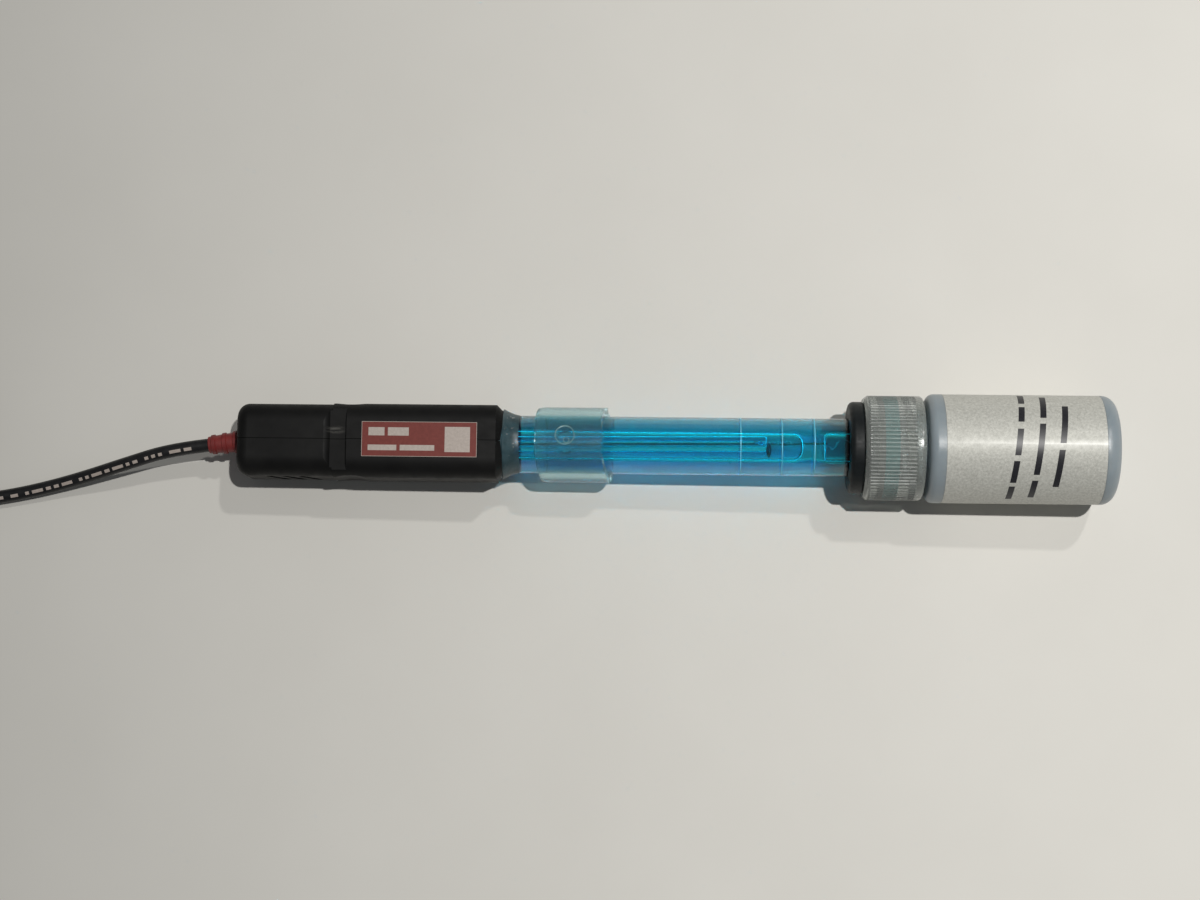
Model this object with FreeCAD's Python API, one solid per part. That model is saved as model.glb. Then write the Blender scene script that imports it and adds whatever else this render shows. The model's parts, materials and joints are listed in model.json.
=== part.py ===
import FreeCAD, Part
import math
import os

# A reference electrode for copper sulphate work, as it lies on a bench with its storage bottle on.
# Millimetres. Each piece is drawn along the electrode's axis: u runs from the handle's rear face
# towards the bottle, y is sideways and z is up. One placement then lays the whole electrode down,
# resting on the handle's rear end and on the bottle's shoulder. The cable is drawn on the bench.
os.makedirs("parts", exist_ok=True)

Vector = FreeCAD.Vector

# Fits between pieces
touch_gap = 0.02
slide_gap = 0.06
seam_gap = 0.10

# Handle: two half shells that meet on the plane y = 0
handle_length = 55.0
rear_width = 15.0
rear_height = 15.4
front_width = 15.4
front_height = 15.8
handle_corner = 4.0
handle_rear_round = 2.4
handle_front_bevel = 1.3
handle_wall = 1.7
handle_end_wall = 6.0
bulkhead_thickness = 2.5
bulkhead_hole_radius = 3.0
waist_start = 17.3
waist_length = 5.7
waist_depth = 1.0
waist_lip = 2.2
waist_lip_bend = (0.62, 0.34)
side_dip_length = 6.4
side_dip_depth = 0.35
side_dip_centre = 23.6
slot_count = 3
slot_first = 8.0
slot_pitch = 3.4
slot_width = 1.5
slot_length = 8.0
slot_depth = 0.7
slot_slant_deg = 24.0

# Label plate on top of the handle
handle_label_setback = 3.2
handle_label_end_margin = 5.1
handle_label_width = 7.2
handle_label_thickness = 0.15
handle_label_corner = 0.35

# Cable and its bend relief at the handle
cable_diameter = 2.8
relief_stem_radius = 2.45
relief_flange_radius = 4.2
relief_flange_start = 3.0
relief_flange_thickness = 1.2
relief_inner_length = 6.4
relief_nose_length = 6.9
relief_nose_root_radius = 2.2
relief_nose_radius = 1.75
relief_nose_round = 0.2
relief_nose_root_depth = 1.0
relief_ring_count = 3
relief_ring_width = 1.05
relief_ring_top = 0.7
relief_ring_height = 0.24
relief_yaw_deg = 7.0
tail_length = 24.0
joint_sleeve_radius = 1.95
joint_sleeve_length = 12.0
joint_sleeve_overlap = 3.0
joint_sleeve_neck_radius = 0.85

# Body tube, clear plastic
tube_radius = 6.0
tube_bore_radius = 4.25
tube_length = 125.5
tube_socket_depth = 10.5
tube_floor = 5.0
tube_floor_corner = 0.6
tube_tip_round = 1.0
refill_hole_radius = 2.0
refill_hole_distance = 23.5

# Potting between handle and tube
potting_depth = 5.0
potting_pocket_radius = 6.95
potting_bead_radius = 7.3
potting_bead_length = 3.3
potting_bead_edge = 0.12
potting_bead_sag = 0.42

# Stopper and glassware inside the body tube
stopper_length = 12.7
inner_tube_setback = 2.5
inner_tube_end_gap = 5.0
inner_tube_radius = 2.4
inner_tube_bore_radius = 1.8
neck_distance = 71.4
neck_run_in = 2.8
neck_run_out = 4.2
neck_flat = 0.8
neck_radius = 1.95
neck_wall_before = 1.4
neck_wall_after = 3.2
upper_bore_corner = 1.2
chamber_radius = 2.5
chamber_bore_radius = 1.85
chamber_corner = 0.5
capillary_setback = 1.0
capillary_length = 61.6
capillary_radius = 1.15
capillary_bore_radius = 0.3
capillary_lean = 0.45
wire_radius = 0.2
wire_reach = 0.6
junction_plug_length = 3.5
thread_radius = 0.12
tip_junction_radius = 1.0
tip_junction_stub = 0.3

# Silicone sleeve over the refill hole, its ends cut on a slant
sleeve_before_hole = 5.2
sleeve_after_hole = 8.6
sleeve_radius = 7.85
sleeve_slant_deg = 9.0
sleeve_yaw_deg = 2.0

# Storage bottle
bottle_radius = 11.3
bottle_wall = 1.1
bottle_over_tip = 33.6
bottle_neck_length = 5.9
bottle_body_length = 39.0
bottle_neck_radius = 8.3
bottle_neck_bore_radius = 7.0
bottle_shoulder_round = 1.7
bottle_base_round = 2.8
bottle_base_wall = 1.4
label_panel_from_shoulder = 3.3
label_panel_from_base = 3.2
label_panel_depth = 0.10
label_thickness = 0.08
label_slit_deg = 6.0

# Screw cap with fine grip ribs
cap_shoulder_gap = 0.6
cap_radius = 10.85
cap_bore_radius = 9.45
cap_end_wall = 1.1
cap_hole_radius = 7.2
cap_rib_count = 78
cap_rib_depth = 0.3
cap_rib_setback = 0.9
cap_rim_width = 1.8
cap_bevel = 0.7
cap_rim_round = 0.8

# Seal stack under the cap: grommet, washer and ring
grommet_flange_radius = 9.55
grommet_flange_thickness = 2.94
grommet_round = 1.1
grommet_inner_radius = 9.0
grommet_inner_thickness = 1.5
washer_outer_radius = 9.2
washer_thickness = 1.3
ring_outer_radius = 9.25
ring_thickness = 2.9
ring_round = 0.35
stack_gap = 0.05

# Plug on the cable's far end, drawn along p from the rear of its boot
plug_boot_length = 22.0
plug_boot_rear_radius = 2.6
plug_boot_front_radius = 3.7
plug_boot_grip_length = 6.0
plug_boot_flare = 0.2
plug_boot_lip = 1.5
ferrule_radius = 2.9
ferrule_length = 12.0
barrel_radius = 4.8
barrel_length = 5.5
barrel_flange_radius = 5.5
barrel_flange_thickness = 0.9
ferrule_overlap = 10.0
contact_shell_radius = 4.05
contact_shell_wall = 0.55
contact_shell_length = 10.5
insulator_length = 6.5
pin_radius = 0.67
pin_reach = 3.0
gasket_radius = 5.1
gasket_thickness = 1.0
coupling_radius = 7.25
coupling_length = 14.0
coupling_rear_wall = 1.5
coupling_bore_radius = 5.75
coupling_ridge_count = 28
coupling_ridge_depth = 0.25
coupling_ridge_length = 5.0
bayonet_slot_width = 2.2
bayonet_slot_length = 6.0
bayonet_window_radius = 1.2
plug_cable_depth = 6.0
plug_cable_lead_in = 5.0

# Coil of the spare cable: three nested helices, three turns each
coil_centre = (-163.6, 3.7)
coil_columns = 3
coil_turns_each = 3
coil_spacing = 2.85
coil_middle_radius = 14.25
coil_corner = 1.2
tie_width = 2.6
tie_thickness = 0.75
tie_clearance = 0.08
tie_head = 4.4
tie_head_height = 3.2
tie_head_depth = 2.35
tie_head_round = 0.4

# Places along the axis that follow from the sizes above
waist_end = waist_start + waist_length
handle_label_start = waist_end + handle_label_setback
handle_label_length = handle_length - handle_label_end_margin - handle_label_start
tube_start = handle_length - tube_socket_depth
tube_end = tube_start + tube_length
potting_start = handle_length - potting_depth
potting_bead_end = handle_length + potting_bead_length
stopper_end = tube_start + stopper_length
inner_tube_start = tube_start + inner_tube_setback
inner_tube_end = tube_end - tube_floor - inner_tube_end_gap
neck_narrowest = inner_tube_start + neck_distance
neck_start = neck_narrowest - neck_run_in
neck_end = neck_narrowest + neck_run_out
upper_bore_end = neck_narrowest - neck_wall_before
chamber_start = neck_narrowest + neck_wall_after
capillary_start = inner_tube_start + capillary_setback
capillary_end = capillary_start + capillary_length
wire_end = chamber_start + wire_reach
refill_hole_place = tube_start + refill_hole_distance
sleeve_start = refill_hole_place - sleeve_before_hole
sleeve_end = refill_hole_place + sleeve_after_hole
bottle_mouth = tube_end - bottle_over_tip
bottle_shoulder = bottle_mouth + bottle_neck_length
bottle_end = bottle_shoulder + bottle_body_length
label_panel_start = bottle_shoulder + label_panel_from_shoulder
label_panel_end = bottle_end - label_panel_from_base
ring_start = bottle_mouth - stack_gap - ring_thickness
washer_start = ring_start - stack_gap - washer_thickness
grommet_inner_end = washer_start - stack_gap
grommet_inner_start = grommet_inner_end - grommet_inner_thickness
cap_start = grommet_inner_start - slide_gap - cap_end_wall
cap_end = bottle_shoulder - cap_shoulder_gap
cap_rib_start = cap_start + cap_rib_setback
cap_rib_end = cap_end - cap_rim_width
grommet_end = cap_start - slide_gap
grommet_start = grommet_end - grommet_flange_thickness


def rest_tilt(rear_point, front_point):
    """Tilt in degrees of an axis that rests on two rims, each given as (place on axis, radius)."""
    (rear, rear_radius), (front, front_radius) = rear_point, front_point
    span = front - rear
    rise = front_radius - rear_radius
    return math.degrees(math.atan2(rise, span))


def laid_down(rear_point, front_point):
    """Placement that lays an axis with those two rims on the bench, its zero point above x = 0."""
    tilt = rest_tilt(rear_point, front_point)
    lean = math.radians(tilt)
    height = rear_point[1] * math.cos(lean) - rear_point[0] * math.sin(lean)
    return FreeCAD.Placement(Vector(0, 0, height), FreeCAD.Rotation(Vector(0, 1, 0), -tilt))


handle_foot = (handle_rear_round, rear_height / 2)
bottle_foot = (bottle_shoulder + bottle_shoulder_round, bottle_radius)
electrode_at = laid_down(handle_foot, bottle_foot)
relief_yaw = math.radians(relief_yaw_deg)
relief_nose = Vector(-relief_nose_length * math.cos(relief_yaw),
                     -relief_nose_length * math.sin(relief_yaw), 0)


def box_middle():
    """Middle of the lying electrode along x, from the relief's nose to the bottle's base."""
    rear = electrode_at.multVec(Vector(relief_nose.x - relief_nose_radius * math.sin(relief_yaw), 0, 0))
    front = electrode_at.multVec(Vector(bottle_end, 0, -(bottle_radius - bottle_base_round)))
    return (rear.x + front.x) / 2


electrode_at.Base = electrode_at.Base - Vector(box_middle(), 0, 0)


def corner_arcs(points, closed):
    """Lines and tangent arcs along points given as (position, radius); no arc where radius is 0."""
    count = len(points)
    arcs = {}
    ends = []
    for i, (place, radius) in enumerate(points):
        if radius <= 0 or (not closed and i in (0, count - 1)):
            ends.append((place, place))
            continue
        back = (points[i - 1][0] - place).normalize()
        ahead = (points[(i + 1) % count][0] - place).normalize()
        half = back.getAngle(ahead) / 2
        reach = radius / math.tan(half)
        bisector = (back + ahead).normalize()
        middle = place + bisector * (radius / math.sin(half) - radius)
        start, end = place + back * reach, place + ahead * reach
        ends.append((start, end))
        arcs[i] = Part.Arc(start, middle, end).toShape()
    ordered = []
    for i in range(count if closed else count - 1):
        if i in arcs:
            ordered.append(arcs[i])
        start, end = ends[i][1], ends[(i + 1) % count][0]
        if start.distanceToPoint(end) > 1e-6:
            ordered.append(Part.LineSegment(start, end).toShape())
    return ordered


def outline_face(points):
    """Flat face in the u-z plane from (u, z) or (u, z, corner radius) points."""
    corners = [(Vector(p[0], 0, p[1]), p[2] if len(p) > 2 else 0.0) for p in points]
    return Part.Face(Part.Wire(corner_arcs(corners, True)))


def turned(points):
    """Solid of revolution about the axis from an outline of (u, radius) points."""
    return outline_face(points).revolve(Vector(0, 0, 0), Vector(1, 0, 0), 360)


def rod(radius, start, end):
    return Part.makeCylinder(radius, end - start, Vector(start, 0, 0), Vector(1, 0, 0))


def pipe(outer, inner, start, end):
    return rod(outer, start, end).cut(rod(inner, start, end))


def rod_between(radius, start, end):
    way = end - start
    return Part.makeCylinder(radius, way.Length, start, way)


def rounded_bar(width, height, corner, start, end):
    """Bar along the axis with a rounded rectangle as its section."""
    half_w, half_h = width / 2, height / 2
    corners = [(Vector(start, y, z), corner)
               for y, z in ((-half_w, -half_h), (half_w, -half_h), (half_w, half_h), (-half_w, half_h))]
    return Part.Face(Part.Wire(corner_arcs(corners, True))).extrude(Vector(end - start, 0, 0))


def end_edges(shape, place):
    """Edges that lie wholly in the plane u = place."""
    return [e for e in shape.Edges
            if abs(e.BoundBox.XMin - place) < 1e-4 and abs(e.BoundBox.XMax - place) < 1e-4]


def export(name, shape, place=None):
    """Write one node, as a single solid where it is one, and say its volume."""
    placed = shape.removeSplitter() if name in plain_nodes else shape.copy()
    if place is not None:
        placed.Placement = place.multiply(placed.Placement)
    solids = placed.Solids
    if not placed.isValid() or not solids:
        raise ValueError("bad shape: " + name)
    placed = solids[0] if len(solids) == 1 else Part.makeCompound(solids)
    placed.exportStep("parts/" + name + ".step")
    print(f"{name}: {len(solids)} solid, {sum(s.Volume for s in solids):.2f} mm3")


plain_nodes = {"handle_left_shell", "handle_right_shell"}


# Handle
def waist_cutter(side):
    """Shallow recess across the top (side 1) or the bottom (side -1), soft at its rear lip."""
    top = front_height / 2
    floor = top - waist_depth
    along, down = waist_lip_bend
    lip_middle = Vector(waist_start + waist_lip * along, 0, top - waist_depth * down)
    start = Vector(waist_start, 0, rear_height / 2)
    foot = Vector(waist_start + waist_lip, 0, floor)
    step = Vector(waist_end, 0, floor)
    above = Vector(waist_end, 0, top + 1)
    corner = Vector(waist_start, 0, top + 1)
    edges = [Part.Arc(start, lip_middle, foot).toShape()]
    edges += [Part.LineSegment(a, b).toShape()
              for a, b in ((foot, step), (step, above), (above, corner), (corner, start))]
    face = Part.Face(Part.Wire(edges))
    cutter = face.extrude(Vector(0, front_width, 0))
    cutter.translate(Vector(0, -front_width / 2, 0))
    if side < 0:
        cutter = cutter.mirror(Vector(0, 0, 0), Vector(0, 0, 1))
    return cutter


def side_dip_cutter(side):
    """Lens shaped dip in the side wall where the waist runs out."""
    half = side_dip_length / 2
    wall = side * front_width / 2
    radius = (half ** 2 + side_dip_depth ** 2) / (2 * side_dip_depth)
    centre = Vector(side_dip_centre, wall + side * (radius - side_dip_depth), -front_height / 2)
    return Part.makeCylinder(radius, front_height, centre, Vector(0, 0, 1))


def grip_slot(index, side):
    """One slanted grip slot with round ends in the side wall."""
    straight = slot_length - slot_width
    radius = slot_width / 2
    corners = [(Vector(-radius, 0, -straight / 2 - radius), radius * 0.98),
               (Vector(radius, 0, -straight / 2 - radius), radius * 0.98),
               (Vector(radius, 0, straight / 2 + radius), radius * 0.98),
               (Vector(-radius, 0, straight / 2 + radius), radius * 0.98)]
    cutter = Part.Face(Part.Wire(corner_arcs(corners, True))).extrude(Vector(0, slot_depth + 1, 0))
    cutter.rotate(Vector(0, 0, 0), Vector(0, 1, 0), -slot_slant_deg)
    start = rear_width / 2 - slot_depth if side > 0 else -rear_width / 2 - 1
    cutter.translate(Vector(slot_first + index * slot_pitch, start, 0))
    return cutter


def handle_body():
    """Both halves of the handle as one hollow body, before it is split."""
    rear = rounded_bar(rear_width, rear_height, handle_corner, 0, waist_end)
    rear = rear.makeFillet(handle_rear_round, end_edges(rear, 0))
    front = rounded_bar(front_width, front_height, handle_corner, waist_end - 3, handle_length)
    front = front.makeChamfer(handle_front_bevel, end_edges(front, handle_length))
    body = rear.fuse(front)
    cutters = [waist_cutter(1), waist_cutter(-1), side_dip_cutter(1), side_dip_cutter(-1)]
    cutters += [grip_slot(i, side) for i in range(slot_count) for side in (1, -1)]
    bulkhead_end = tube_start - touch_gap
    cavity_end = bulkhead_end - bulkhead_thickness
    inner_width = rear_width - 2 * (handle_wall + slot_depth)
    inner_height = rear_height - 2 * (handle_wall + waist_depth)
    cutters.append(rounded_bar(inner_width, inner_height, handle_corner - handle_wall,
                               handle_end_wall, cavity_end))
    flange_end = relief_flange_start + relief_flange_thickness
    cutters.append(rod(relief_stem_radius + touch_gap, -1, handle_end_wall + 1))
    cutters.append(rod(relief_flange_radius + touch_gap,
                       relief_flange_start - touch_gap, flange_end + touch_gap))
    cutters.append(rod(bulkhead_hole_radius, cavity_end - 1, bulkhead_end + 1))
    cutters.append(rod(tube_radius + touch_gap, bulkhead_end, handle_length + 1))
    cutters.append(rod(potting_pocket_radius + touch_gap, potting_start - touch_gap, handle_length + 1))
    return body.cut(cutters)


def half_of(body, side):
    """One half of the handle, held back from the split plane by half the seam gap."""
    reach = front_width
    keep = Part.makeBox(handle_length + 4, reach, 2 * front_height)
    start = seam_gap / 2 if side > 0 else -seam_gap / 2 - reach
    keep.translate(Vector(-2, start, -front_height))
    return body.common(keep)


def handle_label():
    plate = rounded_bar(handle_label_length, handle_label_width, handle_label_corner, 0,
                        handle_label_thickness)
    plate.rotate(Vector(0, 0, 0), Vector(0, 1, 0), -90)
    plate.rotate(Vector(0, 0, 0), Vector(0, 0, 1), 90)
    middle = handle_label_start + handle_label_length / 2
    plate.translate(Vector(middle, 0, front_height / 2 + touch_gap / 4))
    return plate


# Bend relief and what the cable joins inside the handle
def yawed(shape):
    """Turn a piece drawn behind the rear face so that it follows the relief's lean."""
    shape.rotate(Vector(0, 0, 0), Vector(0, 0, 1), relief_yaw_deg)
    return shape


def relief_outline():
    """Outline of the ribbed nose, from its root inside the stem back to its rounded end."""
    taper = (relief_nose_root_radius - relief_nose_radius) / relief_nose_length
    points = [(relief_nose_root_depth, 0), (relief_nose_root_depth, relief_nose_root_radius),
              (0, relief_nose_root_radius)]
    pitch = relief_nose_length / relief_ring_count
    foot, crest = relief_ring_width / 2, relief_ring_width * relief_ring_top / 2
    for i in range(relief_ring_count):
        middle = -pitch * (i + 0.5)
        for place, rise in ((foot, 0), (crest, relief_ring_height),
                            (-crest, relief_ring_height), (-foot, 0)):
            points.append((middle + place, relief_nose_root_radius + taper * (middle + place) + rise))
    points += [(-relief_nose_length, relief_nose_radius, relief_nose_round), (-relief_nose_length, 0)]
    return points


def strain_relief():
    """Ribbed nose outside the handle, and a flange inside it that the half shells hold."""
    flange_end = relief_flange_start + relief_flange_thickness
    body = rod(relief_stem_radius, 0, relief_inner_length)
    body = body.fuse(rod(relief_flange_radius, relief_flange_start, flange_end))
    body = body.fuse(yawed(turned(relief_outline())))
    bore = cable_diameter / 2 + touch_gap
    body = body.cut(rod(bore, 0, relief_inner_length + 1))
    body = body.cut(yawed(rod(bore, -relief_nose_length - 1, 0)))
    return body.cut(Part.makeSphere(bore + touch_gap))


def cable_tail():
    """The cable's end inside the relief and the handle, up to the soldered joint."""
    radius = cable_diameter / 2
    tail = rod(radius, 0, tail_length).fuse(Part.makeSphere(radius))
    return tail.fuse(yawed(rod(radius, -relief_nose_length, 0)))


def joint_sleeve():
    """Shrink sleeve over the joint, tight on the cable and drawn down onto the wire."""
    start = tail_length - joint_sleeve_overlap
    end = start + joint_sleeve_length
    step = tail_length + 3 * touch_gap
    cable_bore = cable_diameter / 2 + touch_gap
    wire_bore = wire_radius + 0.25
    wall = joint_sleeve_radius - cable_bore
    return turned([(start, cable_bore), (step, cable_bore), (step + 1.2, wire_bore), (end, wire_bore),
                   (end, joint_sleeve_neck_radius, wall / 2),
                   (step + 2.6, joint_sleeve_neck_radius, 1.0),
                   (step + 0.6, joint_sleeve_radius, 0.8), (start, joint_sleeve_radius, wall / 2)])


# Body tube and what it holds
def body_tube():
    floor = tube_end - tube_floor
    tube = turned([(tube_start, tube_bore_radius), (floor, tube_bore_radius, tube_floor_corner), (floor, 0),
                   (tube_end, 0), (tube_end, tube_radius, tube_tip_round), (tube_start, tube_radius)])
    hole = Part.makeCylinder(refill_hole_radius, tube_radius + 1,
                             Vector(refill_hole_place, 0, 0), Vector(0, 0, 1))
    return tube.cut([hole, rod(tip_junction_radius + touch_gap, floor - 1, tube_end + 1)])


def potting_collar():
    """Cast resin: a hidden ring in the handle's mouth and a bead that runs out onto the tube."""
    inner = tube_radius + touch_gap
    face = handle_length + touch_gap
    bead_span = potting_bead_end - face
    bead_rise = potting_bead_radius - inner - potting_bead_edge
    start = Vector(face, 0, potting_bead_radius)
    end = Vector(potting_bead_end, 0, inner + potting_bead_edge)
    sag = Vector(face + bead_span * potting_bead_sag, 0,
                 inner + potting_bead_edge + bead_rise * potting_bead_sag)
    corners = [Vector(potting_bead_end, 0, inner), Vector(potting_start, 0, inner),
               Vector(potting_start, 0, potting_pocket_radius), Vector(face, 0, potting_pocket_radius)]
    edges = [Part.Arc(start, sag, end).toShape()]
    chain = [end] + corners + [start]
    edges += [Part.LineSegment(a, b).toShape() for a, b in zip(chain, chain[1:])]
    return Part.Face(Part.Wire(edges)).revolve(Vector(0, 0, 0), Vector(1, 0, 0), 360)


def leaning(place):
    """Point on the line of the leaning wire and capillary at that place along the axis."""
    slope = capillary_lean / (capillary_end - capillary_start)
    return Vector(place, slope * (place - capillary_start), 0)


def inner_glass_tube():
    """One blown glass piece: upper bore, drawn neck with the wire sealed through it, lower chamber."""
    outline = [(inner_tube_start, inner_tube_bore_radius),
               (upper_bore_end, inner_tube_bore_radius, upper_bore_corner), (upper_bore_end, 0),
               (chamber_start, 0), (chamber_start, chamber_bore_radius, chamber_corner),
               (inner_tube_end, chamber_bore_radius), (inner_tube_end, chamber_radius, 0.25),
               (neck_end, chamber_radius, 2.0), (neck_narrowest + neck_flat, neck_radius, 1.5),
               (neck_narrowest - neck_flat, neck_radius, 1.5), (neck_start, inner_tube_radius, 2.0),
               (inner_tube_start, inner_tube_radius, 0.25)]
    seal = rod_between(wire_radius + touch_gap, leaning(upper_bore_end - 1), leaning(chamber_start + 1))
    return turned(outline).cut(seal)


def capillary():
    sheath = rod_between(capillary_radius, leaning(capillary_start), leaning(capillary_end))
    bore = rod_between(capillary_bore_radius, leaning(capillary_start - 1), leaning(capillary_end + 1))
    return sheath.cut(bore)


def copper_wire():
    return rod_between(wire_radius, leaning(tail_length + touch_gap), leaning(wire_end))


def inner_solution():
    """Liquid in the upper bore, around the capillary and the bare wire."""
    start = stopper_end
    liquid = turned([(start, 0), (start, inner_tube_bore_radius - touch_gap),
                     (upper_bore_end - touch_gap, inner_tube_bore_radius - touch_gap, upper_bore_corner),
                     (upper_bore_end - touch_gap, 0)])
    sheath = rod_between(capillary_radius + touch_gap, leaning(start - 1),
                         leaning(capillary_end + touch_gap))
    wire = rod_between(wire_radius + touch_gap, leaning(start - 1), leaning(upper_bore_end + 1))
    return liquid.cut([sheath, wire])


def bridge_solution():
    """Liquid in the lower chamber, around the wire's end and the thread."""
    start = chamber_start + touch_gap
    end = inner_tube_end - junction_plug_length - touch_gap
    radius = chamber_bore_radius - touch_gap
    liquid = turned([(start, 0), (start, radius, chamber_corner), (end, radius), (end, 0)])
    wire = rod_between(wire_radius + touch_gap, leaning(chamber_start - 1), leaning(wire_end + touch_gap))
    return liquid.cut([wire, rod(thread_radius + touch_gap, wire_end, inner_tube_end)])


def junction_thread():
    end = inner_tube_end - junction_plug_length - touch_gap
    return rod(thread_radius, wire_end + 4 * touch_gap, end)


def fill_solution():
    """Blue liquid between the glassware and the body tube."""
    floor = tube_end - tube_floor - touch_gap
    radius = tube_bore_radius - touch_gap
    liquid = turned([(stopper_end + touch_gap, 0), (stopper_end + touch_gap, radius),
                     (floor, radius, tube_floor_corner), (floor, 0)])
    glass = turned([(inner_tube_start, 0), (inner_tube_start, inner_tube_radius + touch_gap),
                    (neck_start, inner_tube_radius + touch_gap, 2.0),
                    (neck_narrowest - neck_flat, neck_radius + touch_gap, 1.5),
                    (neck_narrowest + neck_flat, neck_radius + touch_gap, 1.5),
                    (neck_end, chamber_radius + touch_gap, 2.0),
                    (inner_tube_end + touch_gap, chamber_radius + touch_gap),
                    (inner_tube_end + touch_gap, 0)])
    return liquid.cut([glass, rod(tip_junction_radius + touch_gap, floor - 2, floor + 1)])


# Refill sleeve
def refill_sleeve():
    """Short length of soft tube, cut a little askew at both ends."""
    bore = tube_radius + slide_gap
    sleeve = pipe(sleeve_radius, bore, sleeve_start - 5, sleeve_end + 5)
    depth, half = sleeve_end - sleeve_start, 2 * sleeve_radius
    for place, way in ((sleeve_start, -1), (sleeve_end, 1)):
        block = Part.makeBox(depth, 2 * half, 2 * half)
        block.translate(Vector(0 if way > 0 else -depth, -half, -half))
        block.rotate(Vector(0, 0, 0), Vector(0, 1, 0), -sleeve_slant_deg)
        block.rotate(Vector(0, 0, 0), Vector(0, 0, 1), sleeve_yaw_deg)
        block.translate(Vector(place, 0, 0))
        sleeve = sleeve.cut(block)
    return sleeve


# Storage bottle with its cap and seals
def storage_bottle():
    inner_radius = bottle_radius - label_panel_depth - bottle_wall
    inner_shoulder = bottle_shoulder + bottle_wall
    floor = bottle_end - bottle_base_wall
    panel = bottle_radius - label_panel_depth
    return turned([(bottle_mouth, bottle_neck_bore_radius, 0.3),
                   (inner_shoulder, bottle_neck_bore_radius, 0.3),
                   (inner_shoulder, inner_radius, bottle_shoulder_round * 0.6),
                   (floor, inner_radius, bottle_base_round * 0.6), (floor, 0), (bottle_end, 0),
                   (bottle_end, bottle_radius, bottle_base_round),
                   (label_panel_end, bottle_radius), (label_panel_end, panel),
                   (label_panel_start, panel), (label_panel_start, bottle_radius),
                   (bottle_shoulder, bottle_radius, bottle_shoulder_round),
                   (bottle_shoulder, bottle_neck_radius, 0.4), (bottle_mouth, bottle_neck_radius, 0.4)])


def bottle_label():
    """Film wrapped once round the bottle, its ends a little apart underneath."""
    inner = bottle_radius - label_panel_depth + touch_gap / 2
    outer = inner + label_thickness
    film = pipe(outer, inner, label_panel_start + slide_gap, label_panel_end - slide_gap)
    half = math.radians(label_slit_deg / 2)
    reach = 2 * bottle_radius
    corner_a = Vector(0, -reach * math.sin(half), -reach * math.cos(half))
    corner_b = Vector(0, reach * math.sin(half), -reach * math.cos(half))
    slit = Part.Face(Part.makePolygon([Vector(0, 0, 0), corner_a, corner_b, Vector(0, 0, 0)]))
    slit = slit.extrude(Vector(bottle_end, 0, 0))
    return film.cut(slit)


def screw_cap():
    """Clear cap: ribbed skirt, smooth rim and an end wall with a hole for the grommet."""
    tips = []
    for i in range(2 * cap_rib_count):
        angle = math.pi * i / cap_rib_count
        radius = cap_radius if i % 2 == 0 else cap_radius - cap_rib_depth
        tips.append(Vector(cap_rib_start, radius * math.sin(angle), radius * math.cos(angle)))
    skirt = Part.Face(Part.makePolygon(tips + [tips[0]])).extrude(
        Vector(cap_rib_end - cap_rib_start, 0, 0))
    end = turned([(cap_start, 0), (cap_start, cap_radius - cap_bevel), (cap_rib_start, cap_radius),
                  (cap_rib_start, 0)])
    rim = turned([(cap_rib_end, 0), (cap_rib_end, cap_radius), (cap_end, cap_radius, cap_rim_round),
                  (cap_end, 0)])
    cap = skirt.fuse([end, rim])
    return cap.cut([rod(cap_hole_radius, cap_start - 1, cap_end),
                    rod(cap_bore_radius, cap_start + cap_end_wall, cap_end + 1)])


def seal_grommet():
    """Black rubber grommet that grips the tube, with a flange each side of the cap's end wall."""
    bore = tube_radius + slide_gap
    neck = cap_hole_radius - slide_gap
    return turned([(grommet_start, bore), (grommet_start, grommet_flange_radius, grommet_round),
                   (grommet_end, grommet_flange_radius, 0.35), (grommet_end, neck),
                   (grommet_inner_start, neck), (grommet_inner_start, grommet_inner_radius, 0.2),
                   (grommet_inner_end, grommet_inner_radius, 0.2), (grommet_inner_end, bore)])


def slip_washer():
    return pipe(washer_outer_radius, tube_radius + 4 * slide_gap, washer_start,
                washer_start + washer_thickness)


def compression_ring():
    bore = tube_radius + slide_gap
    end = ring_start + ring_thickness
    return turned([(ring_start, bore), (ring_start, ring_outer_radius, ring_round),
                   (end, ring_outer_radius, ring_round), (end, bore)])


# Plug on the far end of the cable
ferrule_start = plug_boot_length - ferrule_overlap
barrel_start = ferrule_start + ferrule_length
barrel_end = barrel_start + barrel_length
contact_start = barrel_end + barrel_flange_thickness
coupling_start = barrel_end - coupling_rear_wall - slide_gap
coupling_end = coupling_start + coupling_length
plug_rear_foot = (plug_boot_lip, plug_boot_rear_radius + plug_boot_flare)
plug_ring_foot = (coupling_start, coupling_radius)


def plug_boot():
    """Tapered boot that widens to a short grip over the ferrule."""
    bore = cable_diameter / 2 + touch_gap
    seat = ferrule_start - touch_gap
    rear = plug_boot_rear_radius
    return turned([(0, bore), (seat, bore), (seat, ferrule_radius + touch_gap),
                   (plug_boot_length, ferrule_radius + touch_gap),
                   (plug_boot_length, plug_boot_front_radius, 0.35),
                   (plug_boot_length - plug_boot_grip_length, plug_boot_front_radius, 3.0),
                   (plug_boot_lip, rear + plug_boot_flare, 2.0),
                   (0, rear - plug_boot_flare, plug_boot_flare)])


def plug_ferrule():
    return pipe(ferrule_radius, cable_diameter / 2 + touch_gap, ferrule_start,
                barrel_start - touch_gap)


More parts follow.
